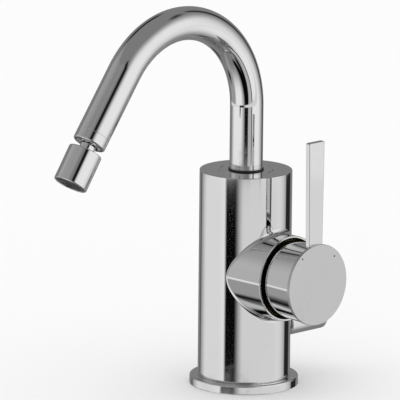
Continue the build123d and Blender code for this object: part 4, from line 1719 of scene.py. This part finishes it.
@dataclass
class Studio:
    """Pale floor, even daylight, reflected panels and the camera."""

    azimuth: float = math.radians(44.99)
    elevation: float = math.radians(12.40)
    roll: float = math.radians(0.56)
    location: Triple = (2.5644, -2.6001, 0.9036)
    lens: float = 624.8
    sight: float = 20.0
    daylight: float = 1.05
    floor_radius: float = 3.0
    floor_steps: int = 96
    floor_colour: Triple = (0.93, 0.93, 0.93)
    floor_roughness: float = 0.9
    floor_grain: float = 400.0
    floor_relief: float = 0.05
    floor_depth: float = 0.1 * MM
    dome_radius: float = 12.0
    dome_centre: Triple = (0.0, 0.0, 0.16)
    dome_rows: int = 32
    dome_steps: int = 64
    dome_base: float = 0.235
    panels: Sequence[Panel] = (
        Panel(0.17, -PAST_BACK, PAST_BACK, -90.0, 54.0, (0.0, 0.0, 1.0, 8.0)),
        Panel(0.055, 98.0, 126.0, 50.0, 60.0, (6.0, 6.0, 4.0, 4.0)),
        Panel(0.36, -122.0, -16.0, SEAM, 49.0, (10.0, 12.0, 0.2, 5.0)),
        Panel(0.52, -118.0, -80.0, SEAM, 30.0, (12.0, 12.0, 0.2, 14.0)),
        Panel(0.94, -110.0, -27.0, -50.0, SEAM, (20.0, 15.0, 22.0, 0.2)),
        Panel(0.36, -114.0, -82.0, -90.0, BAND_LOW, (6.0, 8.0, 1.0, BAND_SOFT)),
        Panel(0.95, 28.0, 108.0, -52.0, 36.0, (16.0, 26.0, 25.0, 20.0)),
        Panel(0.004, -PAST_BACK, PAST_BACK, -90.0, -66.0, (0.0, 0.0, 1.0, 7.0)),
        Panel(0.09, 40.0, PAST_BACK, -90.0, -60.0, (5.0, 5.0, 1.0, 6.0)),
        Panel(0.003, -14.0, 14.0, -70.0, -7.0, (3.0, 2.0, 4.0, 2.0)),
        Panel(0.003, 8.0, 38.0, -60.0, -14.0, (3.0, 3.0, 4.0, 2.0), -0.6),
        Panel(0.52, 20.0, 48.0, -50.0, -7.0, (3.0, 2.0, 14.0, 2.0), -0.6),
        Panel(0.06, 47.0, 53.0, -60.0, -7.0, (1.5, 1.5, 3.0, 2.0), -0.7),
        Panel(0.008, 6.0, 18.0, 25.0, 49.0, (4.0, 4.0, 3.0, 3.0), -0.93),
        Panel(0.022, 132.0, 145.0, -28.0, 48.0, (5.0, 5.0, 4.0, 4.0)),
        Panel(0.02, -172.0, -136.0, 30.0, 47.0, (5.0, 8.0, 6.0, 3.0)),
        Panel(0.01, -124.0, -106.0, -46.0, -33.0, (4.0, 4.0, 4.0, 6.0)),
        Panel(0.01, -166.0, -148.0, -46.0, -35.0, (4.0, 4.0, 3.0, 3.0)),
        band_panel(0.17, -PAST_BACK, PAST_BACK),
        band_panel(0.82, -128.0, -58.0, 20.0, 14.0),
        band_panel(0.76, -16.0, 99.0, 13.0, 28.0),
        band_panel(0.003, -51.0, -19.0, 4.0, 8.0),
        band_panel(0.02, 119.0, 140.0, 3.0, 7.0),
        band_panel(0.06, -147.0, -141.0, 3.0, 3.0),
    )

    def build_floor(self) -> None:
        """Lay the floor, which metal doesn't mirror."""
        material, wiring = new_material("studio_paper")
        shader = material.node_tree.nodes["Principled BSDF"]
        grain = {"Place": wiring.own_place(), "Scale": self.floor_grain}
        height = wiring.effect(Effect.GRAIN, grain)
        wiring.emboss(shader, height, self.floor_relief, self.floor_depth)
        shader.inputs["Base Color"].default_value = (*self.floor_colour, 1.0)
        shader.inputs["Roughness"].default_value = self.floor_roughness
        shader.inputs["Specular IOR Level"].default_value = 0.0
        skin = Skin("studio_floor")
        disc = Outline(Bend(self.floor_radius, 0.0), Bend(0.0, 0.0), closed=False)
        skin.add_turned(disc, spin=Spin(segments=self.floor_steps, last=self.floor_steps))
        floor = skin.build(material)
        floor.visible_glossy = False

    def build_daylight(self) -> None:
        """Light the object evenly, on a background that the camera sees as white."""
        world = bpy.data.worlds.new("daylight")
        bpy.context.scene.world = world
        world.use_nodes = True
        wiring = Wiring(world.node_tree)
        seen = wiring.add("ShaderNodeLightPath").outputs["Is Camera Ray"]
        strength = wiring.remap(seen, (0.0, 1.0), (self.daylight, 1.0))
        background = world.node_tree.nodes["Background"]
        wiring.feed(background, {"Color": (1.0, 1.0, 1.0, 1.0), "Strength": strength})

    def panel_material(self) -> bpy.types.Material:
        """Lay each panel over those before it.

        Returns:
            Glow of the dome.
        """
        material, wiring = new_material("studio_panels")
        material.node_tree.nodes.clear()
        place = wiring.own_place()
        brightness: object = self.dome_base
        for panel in self.panels:
            values = {"Place": place, "Beneath": brightness, **panel.inputs()}
            brightness = wiring.effect(Effect.STUDIO_PANEL, values)
        light = wiring.add("ShaderNodeEmission")
        wiring.join(brightness, light.inputs["Color"])
        output = wiring.add("ShaderNodeOutputMaterial")
        wiring.join(light.outputs[0], output.inputs["Surface"])
        return material

    def build_dome(self) -> None:
        """Hang the panels round the object, where only mirrors see them."""
        spin = Spin(segments=self.dome_steps, last=self.dome_steps)
        rows: list[Row] = []
        for lift in spread(-QUARTER_TURN, QUARTER_TURN, self.dome_rows):
            row: Row = []
            for angle in spin.angles(1.0):
                ahead, aside = math.cos(angle) * math.cos(lift), math.sin(angle) * math.cos(lift)
                out = Vector((ahead, aside, math.sin(lift)))
                row.append((out, -out))
            rows.append(row)
        skin = Skin("studio_dome")
        skin.add_grid(rows)
        dome = skin.build(self.panel_material())
        dome.rotation_euler = (0.0, 0.0, self.azimuth)
        dome.location = self.dome_centre
        dome.scale = (self.dome_radius,) * 3
        dome.visible_camera = False
        dome.visible_diffuse = False
        dome.visible_shadow = False
        dome.visible_transmission = False

    def build_camera(self) -> None:
        """Set the camera at the photograph's angle."""
        level = math.cos(self.elevation)
        ahead, aside = math.sin(self.azimuth) * level, -math.cos(self.azimuth) * level
        back = Vector((ahead, aside, math.sin(self.elevation)))
        right = spoke(self.azimuth)
        up = back.cross(right)
        x_axis = right * math.cos(self.roll) + up * math.sin(self.roll)
        y_axis = up * math.cos(self.roll) - right * math.sin(self.roll)
        turn = Matrix((x_axis, y_axis, back)).transposed().to_4x4()
        camera = bpy.data.objects.new("camera", bpy.data.cameras.new("camera"))
        camera.data.lens = self.lens
        camera.data.clip_end = self.sight
        camera.matrix_world = Matrix.Translation(self.location) @ turn
        bpy.context.scene.collection.objects.link(camera)
        bpy.context.scene.camera = camera
        bpy.context.scene.view_settings.view_transform = "Standard"

    def build(self) -> None:
        """Build the whole studio."""
        self.build_floor()
        self.build_daylight()
        self.build_dome()
        self.build_camera()


def dress_frame_nodes() -> None:
    """Give the finish of its slot to each frame node, shown or not."""
    for row in frame["record"]["subparts"]:
        node = frame["nodes"][row["node"]]
        node.data.materials.clear()
        node.data.materials.append(FINISHES[Slot(row["material_slot"])].material())
        log.info("dressed %s as %s", row["node"], row["material_slot"])


def main() -> None:
    """Build the mixer piece by piece, then its studio."""
    logging.basicConfig(level=logging.INFO, format="%(name)s: %(message)s")
    for make_effect in (
        make_water_marks,
        make_scratches,
        make_machining,
        make_grain,
        make_edge_wear,
        make_crevices,
        make_studio_panel,
    ):
        make_effect()
    dress_frame_nodes()
    spout = Spout()
    aerator = Aerator(spout.ball_centre())
    for assembly in (Base(), Column(), spout, aerator, Handle(), Waste(), Studio()):
        assembly.build()


if __name__ == "__main__":
    main()
